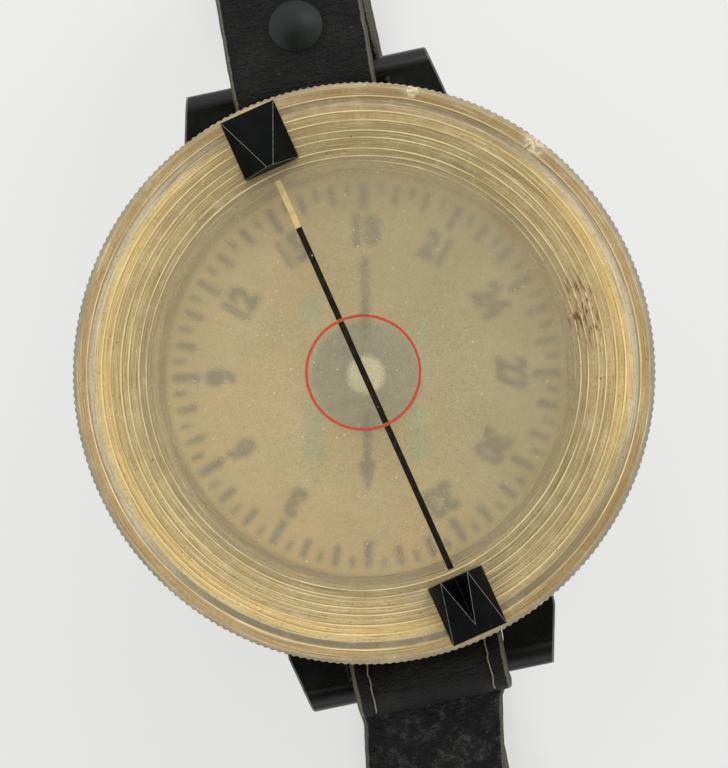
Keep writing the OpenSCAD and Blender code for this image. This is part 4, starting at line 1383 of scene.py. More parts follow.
    def pane_rings(self) -> None:
        """Turns the fine raised rings near the edge of the pane."""
        low, high = self.pane_top - self.line_sink, self.pane_top + self.line_rise
        rings = []
        for radius, width in self.pane_lines:
            outline = [(radius, low), (radius + width, low), (radius + width * 0.7, high),
                       (radius + width * 0.3, high)]
            rings.append(Mesh.lathe(f"ring_{radius}", outline, 256))
        whole = Mesh.joined("pane_rings", rings)
        gap = Mesh.box("line_gap", (-self.line_room, -self.cut_top, self.seat),
                       (self.line_room, self.cut_top, self.cut_top))
        Mesh.cut(whole, spun(gap, math.radians(self.turn)))
        settle(whole, Body.BEZEL, "window", MilkyRing())

    def dust(self) -> None:
        """Scatters pale dust on the pane and dark grit in the turned rings."""
        pale = Paint("dust", srgb(222, 213, 184), srgb(194, 182, 148), rough=0.7)
        grit = Paint("grit", srgb(58, 46, 30), srgb(96, 78, 50), rough=0.7)
        pane = Mesh.lathe("dust_on_pane", [(0.3, self.pane_top), (self.dust_r, self.pane_top),
                                           (self.dust_r, self.pane_top + self.layer)], 48)
        Pattern.run(pane, Pattern.flecks(), Density=2.4e5, Small=0.04 * MM, Large=0.18 * MM, Flat=0.02 * MM,
                    Seed=4, Finish=painted(pale))
        settle(pane, Body.BEZEL, "window", None)
        high = self.pane_top + self.grit_rise
        ring = Mesh.lathe("grit_in_rings", [(self.grit_in, self.pane_top), (self.grit_out, high),
                                            (self.grit_out, high + 10 * self.layer)], 48)
        Pattern.run(ring, Pattern.flecks(), Density=6.0e4, Small=0.06 * MM, Large=0.3 * MM, Flat=0.06 * MM,
                    Seed=11, Finish=painted(grit))
        settle(ring, Body.BEZEL, "clear_case", None)

    def build(self) -> None:
        """Builds the bezel and dresses the solids that stay."""
        self.ring()
        self.sight("front_sight_wedge", self.turn, self.front_ridge, False, "front_sight")
        self.sight("rear_sight_notched", self.turn + 180, self.sight_half / 2, True, "rear_sight")
        self.pane_rings()
        self.dust()
        dress(HazyPane(), "window")
        dress(Paint("line_black", srgb(20, 18, 12), srgb(44, 41, 30), fine=1.8, sheen=0.06), "sight_line")
        dress(Paint("line_luminous", srgb(200, 176, 120), srgb(172, 148, 96), rough=0.6), "sight_line_tip")
        dress(Paint("line_red", srgb(190, 66, 50), srgb(84, 44, 32), rough=0.4, patch_low=0.6, sheen=0.2),
              "centre_ring")


@dataclass(frozen=True)
class Mark:
    """One size of mark on the card's rim. Its rise is in thicknesses of the ink."""

    count: int
    length: float
    width: float
    rise: float


@dataclass
class Card:
    """The floating card: its printed face, grey cap, pale dot, hub and magnets."""

    turn: float = 11.0
    radius: float = 20.8
    low: float = 11.2
    top: float = 11.6
    edge: float = 0.1
    numbers: tuple[str, ...] = ("18", "21", "24", "27", "30", "33", "", "3", "6", "9", "12", "15")
    numeral_r: float = 14.95
    numeral_h: float = 2.8
    numeral_narrow: float = 0.82
    numeral_bold: float = 0.28
    capital_share: float = 0.7
    mark_out: float = 20.1
    marks: tuple[Mark, ...] = (Mark(72, 1.3, 0.5, 1.0), Mark(36, 2.2, 0.7, 1.3), Mark(12, 2.9, 0.85, 1.6))
    line_half: float = 0.45
    line_in: float = 3.7
    line_out: float = 12.4
    cap_r: float = 5.6
    cap_top: float = 12.0
    point_in: float = 9.0
    point_half: float = 0.95
    ink_h: float = 0.03

    @property
    def south(self) -> float:
        """Direction of the card's south mark, in radians from +X."""
        return math.radians(90 - self.turn)

    def disc(self) -> None:
        """Turns the card's disc."""
        inner = self.radius - self.edge
        outline = [(POLE, self.low), (inner, self.low), (self.radius, self.low + self.edge),
                   (self.radius, self.top - self.edge), (inner, self.top), (POLE, self.top)]
        disc = Mesh.lathe("card_face", outline, 128)
        settle(disc, Body.CARD, "card", CardPaint(turn=self.turn), "card_disc")

    def rim_marks(self, ink: Finish) -> None:
        """Prints the three sizes of mark round the rim, named by the degrees between them."""
        for mark in self.marks:
            printed = Pattern.start(f"marks_{360 // mark.count}")
            Pattern.run(printed, Pattern.dial_marks(), Count=mark.count,
                        Radius=(self.mark_out - mark.length / 2) * MM, Length=mark.length * MM,
                        Width=mark.width * MM, Height=self.ink_h * mark.rise * MM,
                        Level=(self.top + self.ink_h * mark.rise / 2) * MM, Turn=self.south,
                        Finish=painted(ink))
            settle(printed, Body.CARD, "card", None)

    def numerals(self, ink: Finish) -> None:
        """Prints the numbers in tens of degrees, with their tops outwards. North has none."""
        for i, text in enumerate(self.numbers):
            if text:
                thing = self.text(f"numeral_{text}", text)
                thing.data.transform(self.around(i, self.numeral_r))
                settle(thing, Body.CARD, "card", ink)

    def around(self, place: int, radius: float) -> Matrix:
        """Gives the move to one of the twelve places round the card, counted from south."""
        turn = self.south - math.radians(30 * place) - math.pi / 2
        return Matrix.Rotation(turn, 4, "Z") @ Matrix.Translation((0, radius * MM, self.top * MM))

    def text(self, name: str, text: str) -> Piece:
        """Makes a number as a thin mesh, centred, with its top towards +Y."""
        curve = bpy.data.curves.new(name, "FONT")
        curve.body = text
        curve.align_x = "CENTER"
        curve.align_y = "CENTER"
        curve.size = self.numeral_h * MM / self.capital_share
        curve.extrude = self.ink_h * MM / 2
        curve.offset = self.numeral_bold * MM
        curve.resolution_u = 4
        writer = linked(name, curve)
        bpy.context.view_layer.update()
        evaluated = writer.evaluated_get(bpy.context.evaluated_depsgraph_get())
        mesh = bpy.data.meshes.new_from_object(evaluated)
        bpy.data.objects.remove(writer)
        narrow = Matrix.Diagonal((self.numeral_narrow, 1, 1, 1))
        mesh.transform(Matrix.Translation((0, 0, self.ink_h * MM / 2)) @ narrow)
        return Mesh.closed(name, mesh)

    def meridian(self, ink: Finish) -> None:
        """Prints the broken line from south to north, with a small point at its north end."""
        bars = []
        runs = ((self.cap_r, self.line_out, self.top), (-self.point_in, -self.cap_r, self.top),
                (self.line_in, self.cap_r, self.cap_top), (-self.cap_r, -self.line_in, self.cap_top))
        for near, far, low in runs:
            bar = Mesh.box("bar", (-self.line_half, near, low), (self.line_half, far, low + self.ink_h))
            bars.append(spun(bar, self.south - math.pi / 2))
        outline = [(-self.point_half, 0.0), (self.point_half, 0.0), (0.0, self.line_out - self.point_in)]
        point = Mesh.swept("point", [[Vector((x, y, z)) for x, y in outline] for z in (0.0, self.ink_h)])
        point.data.transform(self.around(6, self.point_in))
        settle(Mesh.joined("meridian_line", [*bars, point]), Body.CARD, "card", ink)

    def build(self) -> None:
        """Builds the card and dresses its inner pieces."""
        ink = Paint("card_ink", srgb(4, 10, 12), srgb(96, 100, 84), rough=0.7, scale=0.5, patch_low=0.54,
                    patch_high=0.72, fine=3.0)
        faint = Paint("card_ink_faint", srgb(6, 12, 15), srgb(118, 121, 104), rough=0.7, scale=0.5,
                      patch_low=0.5, patch_high=0.66, fine=3.0)
        self.disc()
        self.rim_marks(ink)
        self.numerals(ink)
        self.meridian(faint)
        dress(Paint("cap_grey", srgb(102, 122, 126), srgb(131, 149, 143), rough=0.6, scale=0.5, fine=1.6),
              "hub_cap")
        dress(Paint("dot_pale", srgb(246, 255, 250), srgb(198, 210, 198), rough=0.7, scale=0.5, fine=2.4),
              "centre_dot")
        dress(Metal("hub_brass", srgb(196, 160, 92), srgb(132, 104, 60)), "card_hub", edge=0.08)
        dress(Metal("magnet_steel", srgb(120, 126, 130), srgb(82, 78, 72), rough=0.4), "card_magnets",
              edge=0.12)
        dress(DarkGloss("pivot_stone", srgb(118, 16, 42), srgb(190, 90, 110), rough=0.08), "pivot_jewel")


@dataclass
class Case:
    """The black base with its lugs and bars, the bowl, and what they hold."""

    def build(self) -> None:
        """Dresses the solids of the case."""
        black = DarkGloss("base_black", srgb(11, 12, 11), srgb(98, 98, 90), rough=0.2, scale=0.35, patch=0.04,
                          sheen=0.22)
        # The bevels take a paler colour as a painted highlight along the edges of the base, with rubbed wear
        # in patches on it.
        rubbed = DarkGloss("base_edge", srgb(62, 64, 61), srgb(140, 142, 136), rough=0.3, patch=0.5)
        dress(black, "base", edge=0.22, edge_finish=rubbed)
        dress(CloudyBowl(), "bowl", edge=0.12)
        dress(ClearCover(), "bowl_cover")
        dress(Rubber("cover_seal", srgb(186, 168, 120), srgb(210, 194, 150), through=0.9), "cover_gasket")
        dress(Rubber("washer_fibre", srgb(84, 48, 34), srgb(126, 90, 66)), "filler_washer")
        brass = Metal("fitting_brass", srgb(190, 154, 88), srgb(112, 88, 52))
        dress(brass, "filler_plug", "base_screws", edge=0.08)
        dress(brass, "pivot_post")
        steel = Metal("spring_steel", srgb(168, 172, 174), srgb(110, 108, 104), rough=0.25)
        dress(steel, "pivot_needle", "bezel_spring")


def heading(degrees: float) -> Vector:
    """Gives the direction of an angle in the plane of the straps."""
    return Vector((math.cos(math.radians(degrees)), math.sin(math.radians(degrees))))


def arc(centre: Vector, radius: float, start: float, end: float, steps: int) -> list[Vector]:
    """Gives points along an arc between two angles in degrees."""
    return [centre + radius * heading(start + (end - start) * i / steps) for i in range(steps + 1)]


def placed(points: Sequence[Vector], at: Vector, degrees: float) -> list[Vector]:
    """Turns points about the origin and moves them to a place."""
    turn = Matrix.Rotation(math.radians(degrees), 2)
    return [at + turn @ point for point in points]


@dataclass
class Strap:
    """A leather strap that follows a line in the plane of the compass axis and the straps."""

    thick: float = 1.5
    corner: float = 0.42
    wide_half: float = 8.0
    slim_half: float = 7.5
    slim_y: float = 57.55
    bar: Point2 = (31.55, 3.85)
    loop_r: float = 2.65
    run: float = 11.0
    stand: float = 40.0
    bend_room: float = 0.3
    curl_steps: int = 72
    loop_steps: int = 48
    spacing: float = 0.7
    emboss_in: float = 2.1
    emboss_d: float = 0.1
    # Centre of the painted shadow round a stud, far off when the strap has none.
    stud_shadow_at: Point3 = (0.0, 0.0, 500.0)

    def turned_end(self, radius: float, fastener: float, reach: float, collar: float,
                   end: float) -> list[Vector]:
        """Gives a loop round a bar with its end turned back under the strap.

        Args:
            radius: Radius of the loop's middle line.
            fastener: Distance of the fastener from the bar.
            reach: Radius of the fastener's washer or head.
            collar: Gap between the two layers.
            end: Distance of the turned-back end from the bar.

        Returns:
            Points from that end to the far side of the bar.
        """
        bend = Vector((fastener - reach - self.bend_room, radius - self.thick - collar))
        touch = math.degrees(math.atan2(bend.y, bend.x) - math.acos(radius / bend.length))
        return [Vector((end, bend.y)), bend] + arc(Vector((0, 0)), radius, touch + 360, 90, self.loop_steps)

    def curl(self, start: Vector, slope: float) -> list[Vector]:
        """Gives the curl of the strap from the end of its level run down to the table."""
        table = self.thick / 2 - self.stand
        radius = (start.y - table) / (1 + math.cos(math.radians(slope)))
        centre = start - radius * heading(90 - slope)
        return arc(centre, radius, 90 - slope, -90, self.curl_steps)

    def evened(self, points: Sequence[Vector]) -> list[Vector]:
        """Spaces points evenly along a line and softens its bends."""
        fine = [points[0]]
        for start, end in zip(points, points[1:]):
            count = max(1, round((end - start).length / self.spacing))
            fine += [start.lerp(end, (i + 1) / count) for i in range(count)]
        for _ in range(4):
            soft = [(a + 2 * b + c) / 4 for a, b, c in zip(fine, fine[1:], fine[2:])]
            fine = [fine[0], *soft, fine[-1]]
        return fine

    def half_width(self, place: Vector) -> float:
        """Gives half the strap's width at a place on its line."""
        start = self.bar[0] + self.loop_r
        if place.y < -self.stand / 2 or place.x > self.slim_y:
            return self.slim_half
        share = max(0.0, (place.x - start) / (self.slim_y - start))
        return self.wide_half + (self.slim_half - self.wide_half) * share

    def section(self, half: float, grain_left: bool, seed: Vector) -> list[Point2]:
        """Gives the strap's outline across its line: its left face, then its right face.

        Args:
            half: Half the width there.
            grain_left: Whether the grain is on the left face.
            seed: A point that the leather's unevenness follows.

        Returns:
            Places across and along the normal.
        """
        level = self.thick / 2
        inner = half - self.corner
        cut = inner - (self.emboss_in - self.corner)
        steps = [-inner, -cut - 0.5, -cut - 0.2, -cut, -cut + 0.2, -cut + 0.5, -cut * 0.66, -cut * 0.33, 0.0]
        steps += [-value for value in reversed(steps[:-1])]
        face: list[Point2] = [(-half, 0.0), (-half + 0.05, level * 0.55), (-half + 0.17, level * 0.86)]
        face += [(value, level) for value in steps]
        face += [(half - 0.17, level * 0.86), (half - 0.05, level * 0.55)]
        left = [self.uneven(x, y, cut, grain_left, seed) for x, y in face]
        right = [self.uneven(-x, -y, cut, not grain_left, seed) for x, y in face]
        return left + right

    def uneven(self, across: float, out: float, cut: float, grain: bool, seed: Vector) -> Point2:
        """Presses the embossed line into the grain and makes the leather a little uneven."""
        side = math.copysign(1.0, out) if out else 0.0
        dip = self.emboss_d * math.exp(-((abs(across) - cut) / 0.22) ** 2) if grain else 0.0
        wave = 0.05 * noise.noise(Vector((across * 0.35, seed.x * 0.5, seed.y * 0.5)))
        stray = 0.06 * noise.noise(Vector((seed.x, seed.y, across)))
        return across + stray, out - side * (dip + 0.03) + wave * 0.5

    def sweep(self, name: str, line: Sequence[Vector], edges_at: Callable[[float, Vector], Point2],
              grain_left: bool, mirror: bool) -> Piece:
        """Sweeps the strap along its line.

        Args:
            name: Name of the piece.
            line: Points of the middle line, outwards from the compass.
            edges_at: The strap's two edges at a length along the line and its place.
            grain_left: Whether the grain is on the left of the line.
            mirror: Whether the strap lies on the far side of the compass.

        Returns:
            The strap, with its face numbers and its own map.
        """
        sign = -1.0 if mirror else 1.0
        rings, maps, walked = [], [], 0.0
        last = len(line) - 1
        for i, place in enumerate(line):
            along = (line[min(i + 1, last)] - line[max(i - 1, 0)]).normalized()
            normal = Vector((-along.y, along.x))
            walked += (place - line[i - 1]).length if i else 0.0
            low, high = edges_at(walked, place)
            middle, half = (low + high) / 2, (high - low) / 2
            ring = []
            for across, out in self.section(half, grain_left, place):
                spot = place + normal * out
                ring.append(Vector((middle + across, sign * spot.x, spot.y)))
            rings.append(ring)
            maps.append((walked, middle, half))
        strap = Mesh.swept(name, rings)
        self.mark_faces(strap, len(rings[0]), maps, grain_left)
        return strap

    def mark_faces(self, strap: Piece, count: int, maps: Sequence[tuple[float, float, float]],
                   grain_left: bool) -> None:
        """Numbers the faces as grain, flesh and edge, and maps them from edge to edge and along.

        Args:
            strap: The swept strap.
            count: Number of points in a ring.
            maps: Length along the line, middle and half width of each ring.
            grain_left: Whether the grain is on the left of the line.
        """
        mesh = strap.data
        layer = mesh.uv_layers.new(name="strap")
        faces = (Face.GRAIN, Face.FLESH) if grain_left else (Face.FLESH, Face.GRAIN)
        half = count // 2
        for polygon in mesh.polygons:
            columns = [vertex % count for vertex in polygon.vertices]
            if len(columns) > 4:
                polygon.material_index = Face.EDGE.value
            else:
                place = sum(columns) / 4 if max(columns) - min(columns) < half else count - 0.5
                within = place % half
                on_edge = within < 2 or within > half - 2
                polygon.material_index = Face.EDGE.value if on_edge else faces[int(place // half)].value
            for loop in polygon.loop_indices:
                vertex = mesh.loops[loop].vertex_index
                along, middle, wide = maps[vertex // count]
                layer.data[loop].uv = ((mesh.vertices[vertex].co.x / MM - middle) / wide, along)
        grain = Leather("strap_grain", srgb(11, 12, 11), srgb(23, 24, 23), srgb(108, 106, 90), grain=2.2,
                        depth=0.1, rough=0.44, half=self.wide_half, crease=0.7, shiny=0.14, sheen=0.15,
                        stud_shadow_at=self.stud_shadow_at)
        flesh = Leather("strap_flesh", srgb(17, 18, 18), srgb(66, 67, 65), srgb(96, 95, 84), grain=1.3,
                        depth=0.12, rough=0.7, half=self.wide_half, crease=0.7, patch=0.75)
        edge = Leather("strap_edge", srgb(36, 36, 31), srgb(60, 58, 49), srgb(84, 82, 68), grain=3.0,
                       depth=0.06, rough=0.75, half=self.wide_half)
        for finish in (grain, flesh, edge):
            mesh.materials.append(painted(finish))


@dataclass
class UpperStrap(Strap):
    """The strap at the stud's side, with the buckle holes in its free end."""

    slope: float = 13.0
    stud_u: float = 5.8
    washer_r: float = 2.0
    collar: float = 1.0
    tail: float = 9.4
    flat: float = 11.0
    rise: float = 20.0
    rise_l: float = 21.0
    tip_l: float = 9.0
    tip_least: float = 0.3
    hole_first: float = 2.0
    hole_pitch: float = 5.0
    hole_count: int = 4
    hole_r: float = 1.1
    cap_r: float = 2.85
    cap_h: float = 0.9
    cap_gap: float = 0.05
    post_r: float = 1.0
    post_end: float = 0.35
    dome_steps: int = 12
    step_in: float = 0.8
    # Centre of the painted shadow round the stud.
    stud_shadow_at: Point3 = (0.0, 37.95, 5.84)

    def line(self) -> tuple[list[Vector], Vector]:
        """Gives the strap's middle line and the point where it lifts off the table."""
        bar = Vector(self.bar)
        end = placed([Vector((self.run, self.loop_r))], bar, -self.slope)[0]
        turned = self.turned_end(self.loop_r, self.stud_u, self.washer_r, self.collar, self.tail)
        loop = placed(turned, bar, -self.slope)
        curl = self.curl(end, self.slope)
        lift = Vector((curl[-1].x - self.flat, self.thick / 2 - self.stand))
        return self.evened(loop + curl + [lift, lift + self.rise_l * heading(180 - self.rise)]), lift

    def build(self) -> None:
        """Builds the strap, punches its holes and sets its stud."""
        line, lift = self.line()
        tip = line[-1]
        under_l = self.tail - self.stud_u + self.washer_r + self.bend_room + self.loop_r

        def edges_at(walked: float, place: Vector) -> Point2:
            """Draws the right edge in over the under layer, and rounds the free end."""
            left = (place - tip).length
            half = self.half_width(place)
            share = min(1.0, max(0.0, (walked - under_l) / (2 * self.loop_r)))
            if place.y > -self.stand / 2:
                near = max(0.0, 1 - (place.x - self.bar[0]) / self.run / 2)
                return -half, half - self.step_in * share * near
            if left > self.tip_l:
                return -half, half
            half *= max(self.tip_least, math.sqrt(1 - (1 - left / self.tip_l) ** 2))
            return -half, half

        strap = self.sweep("upper_strap_leather", line, edges_at, True, False)
        up = Matrix.Rotation(math.radians(-self.rise), 4, "X")
        base = Matrix.Translation((0, lift.x, lift.y)) @ up
        holes = []
        for i in range(self.hole_count):
            at = base @ Matrix.Translation((0, -self.hole_first - self.hole_pitch * i, 0))
            holes.append(Mesh.rod(f"hole_{i}", self.hole_r, 2 * self.thick, at))
        Mesh.cut(strap, *holes)
        Mesh.smooth(strap, 50)
        settle(strap, Body.UPPER_STRAP, "strap", None, "upper_strap")
        self.stud()

    def stud(self) -> None:
        """Turns the domed stud, with its skirt, neck and post."""
        dome_r = (self.cap_r ** 2 + self.cap_h ** 2) / (2 * self.cap_h)
        cap = self.loop_r + self.thick / 2 + self.cap_gap
        under = self.loop_r - 1.5 * self.thick - self.collar - self.post_end
        middle = Vector((POLE, cap + self.cap_h - dome_r))
        spread = math.degrees(math.asin(self.cap_r / dome_r))
        dome = [tuple(point) for point in arc(middle, dome_r, 90, 90 - spread, self.dome_steps)]
        outline = dome + [(self.cap_r - self.cap_gap, cap), (self.post_r, cap), (self.post_r, under),
                          (POLE, under)]
        stud = Mesh.lathe("stud_domed", outline, 64)
        stud.data.transform(Matrix.Translation((0, self.stud_u * MM, 0)))
        stud.data.transform(Matrix.Translation((0, self.bar[0] * MM, self.bar[1] * MM))
                            @ Matrix.Rotation(math.radians(-self.slope), 4, "X"))
        black = DarkGloss("stud_black", srgb(22, 25, 24), srgb(88, 92, 86), rough=0.3, scale=0.9, patch=0.08,
                          sheen=0.2)
        settle(stud, Body.UPPER_STRAP, "stud", black, "strap_stud")
        dress(Metal("washer_brass", srgb(176, 150, 96), srgb(104, 88, 60)), "stud_washer")


@dataclass
class LowerStrap(Strap):
    """The strap at the buckle's side, whose loop shows its grain and whose run shows its flesh."""

    slope: float = 15.0
    seam_gap: float = 0.35
    flat: float = 7.5
    rise: float = 25.0
    rise_l: float = 25.5
    buckle_r: float = 1.95
    rivet_u: float = 5.0
    rivet_r: float = 1.9
    collar: float = 0.3
    tail: float = 7.4
    slot_half: float = 1.0
    slot_in: float = 2.5
    slot_deep: float = 4.0
    slim_y: float = 35.55
    thread_in: float = 1.7
    thread_r: float = 0.07
    bow: float = 2.4
    bow_from: float = 15.5
    bow_l: float = 19.0
    bow_back: float = 75.0
    loop_wide: float = 0.15

    def buckle_at(self) -> Vector:
        """Gives the place of the buckle's rear bar."""
        end = placed([Vector((self.run, -self.loop_r))], Vector(self.bar), -self.slope)[0]
        lift = self.lift(end)
        return lift + self.rise_l * heading(180 - self.rise) + self.buckle_r * heading(90 - self.rise)

    def to_buckle(self, thing: Piece) -> Piece:
        """Moves a piece from the frame of the buckle's rear bar to its place under the compass."""
        at = self.buckle_at()
        turn = Matrix.Rotation(math.radians(-self.rise), 4, "X")
        move = Matrix.Translation((0, at.x * MM, at.y * MM)) @ turn
        thing.data.transform(Matrix.Scale(-1, 4, (0, 1, 0)) @ move)
        thing.data.flip_normals()
        return thing

    def lift(self, end: Vector) -> Vector:
        """Gives the point where the strap lifts off the table."""
        return Vector((self.curl(end, self.slope)[-1].x - self.flat, self.thick / 2 - self.stand))

    def line(self) -> list[Vector]:
        """Gives the strap's middle line."""
        bar = Vector(self.bar)
        loop = [Vector((self.loop_r, -self.loop_r + self.thick / 2 + self.seam_gap))]
        loop = placed(loop + arc(Vector((0, 0)), self.loop_r, 0, 270, self.loop_steps), bar, -self.slope)
        end = placed([Vector((self.run, -self.loop_r))], bar, -self.slope)[0]
        turned = self.turned_end(self.buckle_r, self.rivet_u, self.rivet_r, self.collar, self.tail)
        back = placed([Vector((p.x, -p.y)) for p in reversed(turned)], self.buckle_at(), -self.rise)
        return self.evened(loop + self.curl(end, self.slope) + [self.lift(end)] + back)

    def build(self) -> None:
        """Builds the strap, cuts the prong's slot and lays the threads that are left in its loop."""
        strap = self.sweep("lower_strap_leather", self.line(), self.edges, False, True)
        deep = self.slot_deep
        slot = Mesh.box("prong_slot", (-self.slot_half, -deep, -deep), (self.slot_half, self.slot_in, deep))
        Mesh.cut(strap, self.to_buckle(slot))
        Mesh.smooth(strap, 50)
        settle(strap, Body.LOWER_STRAP, "strap", None, "lower_strap")
        self.threads()
        dress(Metal("rivet_steel", srgb(140, 136, 124), srgb(86, 80, 68), rough=0.35), "buckle_rivet",
              edge=0.12)

    def edges(self, walked: float, place: Vector) -> Point2:
        """Gives the strap's two edges, which bow to the left between the loop and the table.

        Args:
            walked: Length along the line.
            place: Place on the line.

        Returns:
            The left and the right edge.
        """
        half = self.half_width(place)
        if walked < self.bow_from - self.loop_r:
            return -half - self.loop_wide, half + self.loop_wide
        out = min(1.0, max(0.0, (walked - self.bow_from) / self.bow_l))
        back = min(1.0, max(0.0, (walked - self.bow_back) / self.bow_l))
        bow = -self.bow * math.sin(out * math.pi / 2) * (1 - back * back * (3 - 2 * back))
        return bow - half, bow + half

    def threads(self) -> None:
        """Lays what is left of two rows of thread over the loop."""
        thread = Paint("thread", srgb(132, 124, 106), srgb(92, 86, 72), rough=0.85, scale=3.0)
        over = arc(Vector((0, 0)), self.loop_r + self.thick / 2 + self.thread_r, 45, 175, 24)
        line = placed(over, Vector(self.bar), -self.slope)
        rows = []
        for side in (-1, 1):
            across = side * (self.wide_half - self.thread_in)
            points = [Vector((across, -p.x, p.y)) for p in line]
            row = Pattern.start(f"thread_{side}", points, [(i, i + 1) for i in range(len(points) - 1)])
            rows.append(Pattern.run(row, Pattern.threads(), Step=0.15 * MM, Thick=self.thread_r * MM,
                                    Stray=0.5 * MM, Bends=0.9 / MM, Finish=painted(thread)))
        settle(Mesh.joined("loop_threads", rows), Body.LOWER_STRAP, "strap", thread)


@dataclass
class Buckle:
    """The wire buckle with its prong, and the leather keeper."""

    wire_r: float = 1.0
    wire_sides: int = 20
    width: float = 16.2
    length: float = 11.5
    corner: float = 2.0
    keeper_u: float = 13.5
    keeper_l: float = 6.0
    keeper_t: float = 1.0
    keeper_half: float = 7.9
    keeper_top: float = -0.9
    keeper_h: float = 3.6
    keeper_out_r: float = 1.1
    keeper_in_r: float = 0.5
    keeper_ease: tuple[Point2, ...] = ((0.0, 0.25), (0.12, 0.08), (0.35, 0.0))
    strap: LowerStrap = field(default_factory=LowerStrap)

    @staticmethod
    def loop_points(half: float, low: float, high: float, radius: float, steps: int = 8) -> list[Point2]:
        """Gives a rounded rectangle.

        Args:
            half: Half its width.
            low: Its lower end.
            high: Its upper end.
            radius: Radius of its corners.
            steps: Number of sides in a corner.

        Returns:
            Its points.
        """
        points: list[Point2] = []
        corners = ((half - radius, high - radius, 0), (radius - half, high - radius, 90),
                   (radius - half, low + radius, 180), (half - radius, low + radius, 270))
        for x, y, start in corners:
            points += [tuple(p) for p in arc(Vector((x, y)), radius, start, start + 90, steps)]
        return points

    def frame_piece(self) -> None:
        """Bends the wire of the frame."""
        side = self.width / 2 + self.wire_r
        path = [Vector((x, y, 0)) for x, y in self.loop_points(side, -self.length, 0, self.corner)]
        rings = []
        for i, point in enumerate(path):
            along = (path[(i + 1) % len(path)] - path[i - 1]).normalized()
            out = Vector((along.y, -along.x, 0))
            turns = (math.tau * j / self.wire_sides for j in range(self.wire_sides))
            rings.append([point + self.wire_r * (out * math.cos(a) + Vector((0, 0, 1)) * math.sin(a))
                          for a in turns])
        wire = self.strap.to_buckle(Mesh.swept("buckle_wire", rings, closed=True))
        steel = Metal("buckle_nickel", srgb(176, 176, 170), srgb(112, 106, 94), rough=0.24, scale=1.0)
        settle(wire, Body.BUCKLE, "buckle", steel, "buckle_frame")
        dress(steel, "buckle_prong", edge=0.2)

    def keeper(self) -> None:
        """Folds the leather keeper round the strap."""
        rings = []
        outer_half = self.keeper_half + self.keeper_t
        low = self.keeper_top - self.keeper_h
        ends = [*self.keeper_ease, *((self.keeper_l - u, inset) for u, inset in reversed(self.keeper_ease))]
        outer = [(self.keeper_u - self.keeper_l / 2 + u, inset) for u, inset in ends]
        for u, inset in outer:
            loop = self.loop_points(outer_half - inset, low - self.keeper_t + inset,
                                    self.keeper_top + self.keeper_t - inset, self.keeper_out_r)
            rings.append([Vector((x, u, z)) for x, z in loop])
        for u, inset in reversed(outer):
            loop = self.loop_points(self.keeper_half + inset, low - inset, self.keeper_top + inset,
                                    self.keeper_in_r)
            rings.append([Vector((x, u, z)) for x, z in loop])
        band = Mesh.swept("keeper_leather", rings, closed=True)
        layer = band.data.uv_layers.new(name="strap")
        for loop in band.data.loops:
            spot = band.data.vertices[loop.vertex_index].co / MM
            layer.data[loop.index].uv = ((spot.y - self.keeper_u) * 2 / self.keeper_l, spot.x)
        self.strap.to_buckle(band)
        grain = Leather("keeper_grain", srgb(18, 19, 18), srgb(38, 38, 35), srgb(104, 102, 86), grain=2.2,
                        depth=0.05, rough=0.5, half=self.keeper_l / 2)
        settle(band, Body.KEEPER, "strap", grain, "strap_keeper")

    def build(self) -> None:
        """Builds the buckle, its prong and the keeper."""
        self.frame_piece()
        self.keeper()


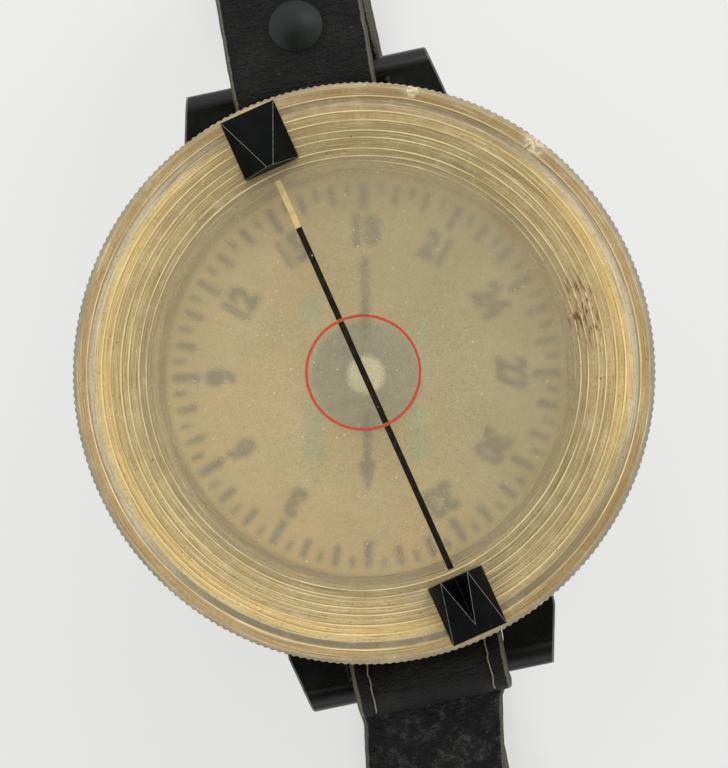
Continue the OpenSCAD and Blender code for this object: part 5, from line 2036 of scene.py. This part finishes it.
@dataclass
class Studio:
    """The pale table, the soft light and the camera above the dial."""

    stand: float = 40.0
    table_half: float = 1500.0
    rim_z: float = 19.1
    away: float = 500.0
    lean_down: float = 2.45
    lean_right: float = 2.6
    frame_h: float = 78.65
    sensor: float = 36.0
    up: Point3 = (0.2036, 0.979, 0.0)
    aim_down: float = 1.21
    aim_right: float = 0.1
    sky_low: float = 0.06
    sky_high: float = 1.62
    sky_open: float = 12.0
    sky_full: float = 62.0
    sky_tilt: float = 12.0
    lamp_energy: float = 1.6
    lamp_size: float = 500.0
    lamp_up: float = 620.0
    lamp_right: float = 300.0
    lamp_high: float = 550.0

    @property
    def axes(self) -> tuple[Vector, Vector]:
        """Gives the picture's right and up directions on the dial."""
        up = Vector(self.up).normalized()
        return up.cross(Vector((0, 0, 1))), up

    def table(self) -> None:
        """Lays the pale table under the straps."""
        size = self.table_half
        corners = [(-size, -size), (size, -size), (size, size), (-size, size)]
        mesh = bpy.data.meshes.new("table")
        mesh.from_pydata([(x * MM, y * MM, -self.stand * MM) for x, y in corners], [], [(0, 1, 2, 3)])
        table = linked("table", mesh)
        table.data.materials.append(painted(TableTop()))

    def light(self) -> None:
        """Lights the scene from a white tent with a dim opening overhead, and softly from one large lamp."""
        right, up = self.axes
        world = bpy.data.worlds.new("white_tent")
        graph = Graph.of(world)
        opening = (Vector((0, 0, 1)) - up * math.tan(math.radians(self.sky_tilt))).normalized()
        way = graph.add("ShaderNodeTexCoord").outputs["Generated"]
        facing = graph.vector("DOT_PRODUCT", way, tuple(opening)).outputs["Value"]
        level = graph.spread(graph.math("ARCCOSINE", facing), math.radians(self.sky_open),
                             math.radians(self.sky_full), self.sky_low, self.sky_high)
        back = graph.add("ShaderNodeBackground", Color=(1.0, 1.0, 1.0), Strength=level)
        output = graph.add("ShaderNodeOutputWorld")
        graph.feed(output.inputs["Surface"], back.outputs[0])
        bpy.context.scene.world = world
        lamp = bpy.data.lights.new("window_light", "AREA")
        lamp.shape = "DISK"
        lamp.size = self.lamp_size * MM
        lamp.energy = self.lamp_energy
        thing = linked("window_light", lamp)
        thing.location = (up * self.lamp_up + right * self.lamp_right + Vector((0, 0, self.lamp_high))) * MM
        thing.rotation_euler = (-Vector(thing.location)).to_track_quat("-Z", "Y").to_euler()

    def camera(self) -> None:
        """Sets the camera at the photograph's viewing angle."""
        right, up = self.axes
        aim = Vector((0, 0, self.rim_z)) - up * self.aim_down + right * self.aim_right
        lean = right * math.tan(math.radians(self.lean_right))
        lean -= up * math.tan(math.radians(self.lean_down))
        back = (Vector((0, 0, 1)) + lean).normalized()
        right = up.cross(back).normalized()
        above = back.cross(right)
        lens = bpy.data.cameras.new("camera")
        lens.sensor_width = self.sensor
        lens.lens = self.sensor * self.away / self.frame_h
        lens.clip_start = 0.01
        thing = linked("camera", lens)
        turn = Matrix((right, above, back)).transposed().to_4x4()
        thing.matrix_world = Matrix.Translation((aim + back * self.away) * MM) @ turn
        bpy.context.scene.camera = thing

    def build(self) -> None:
        """Sets up the table, the light, the camera and the plain view of colours."""
        self.table()
        self.light()
        self.camera()
        bpy.context.scene.view_settings.view_transform = "Standard"


def main() -> None:
    """Builds the compass, piece by piece, and the room for its picture."""
    logging.basicConfig(level=logging.INFO, format="%(message)s")
    Studio().build()
    Case().build()
    Card().build()
    Bezel().build()
    UpperStrap().build()
    lower = LowerStrap()
    lower.build()
    Buckle(strap=lower).build()


if __name__ == "__main__":
    main()
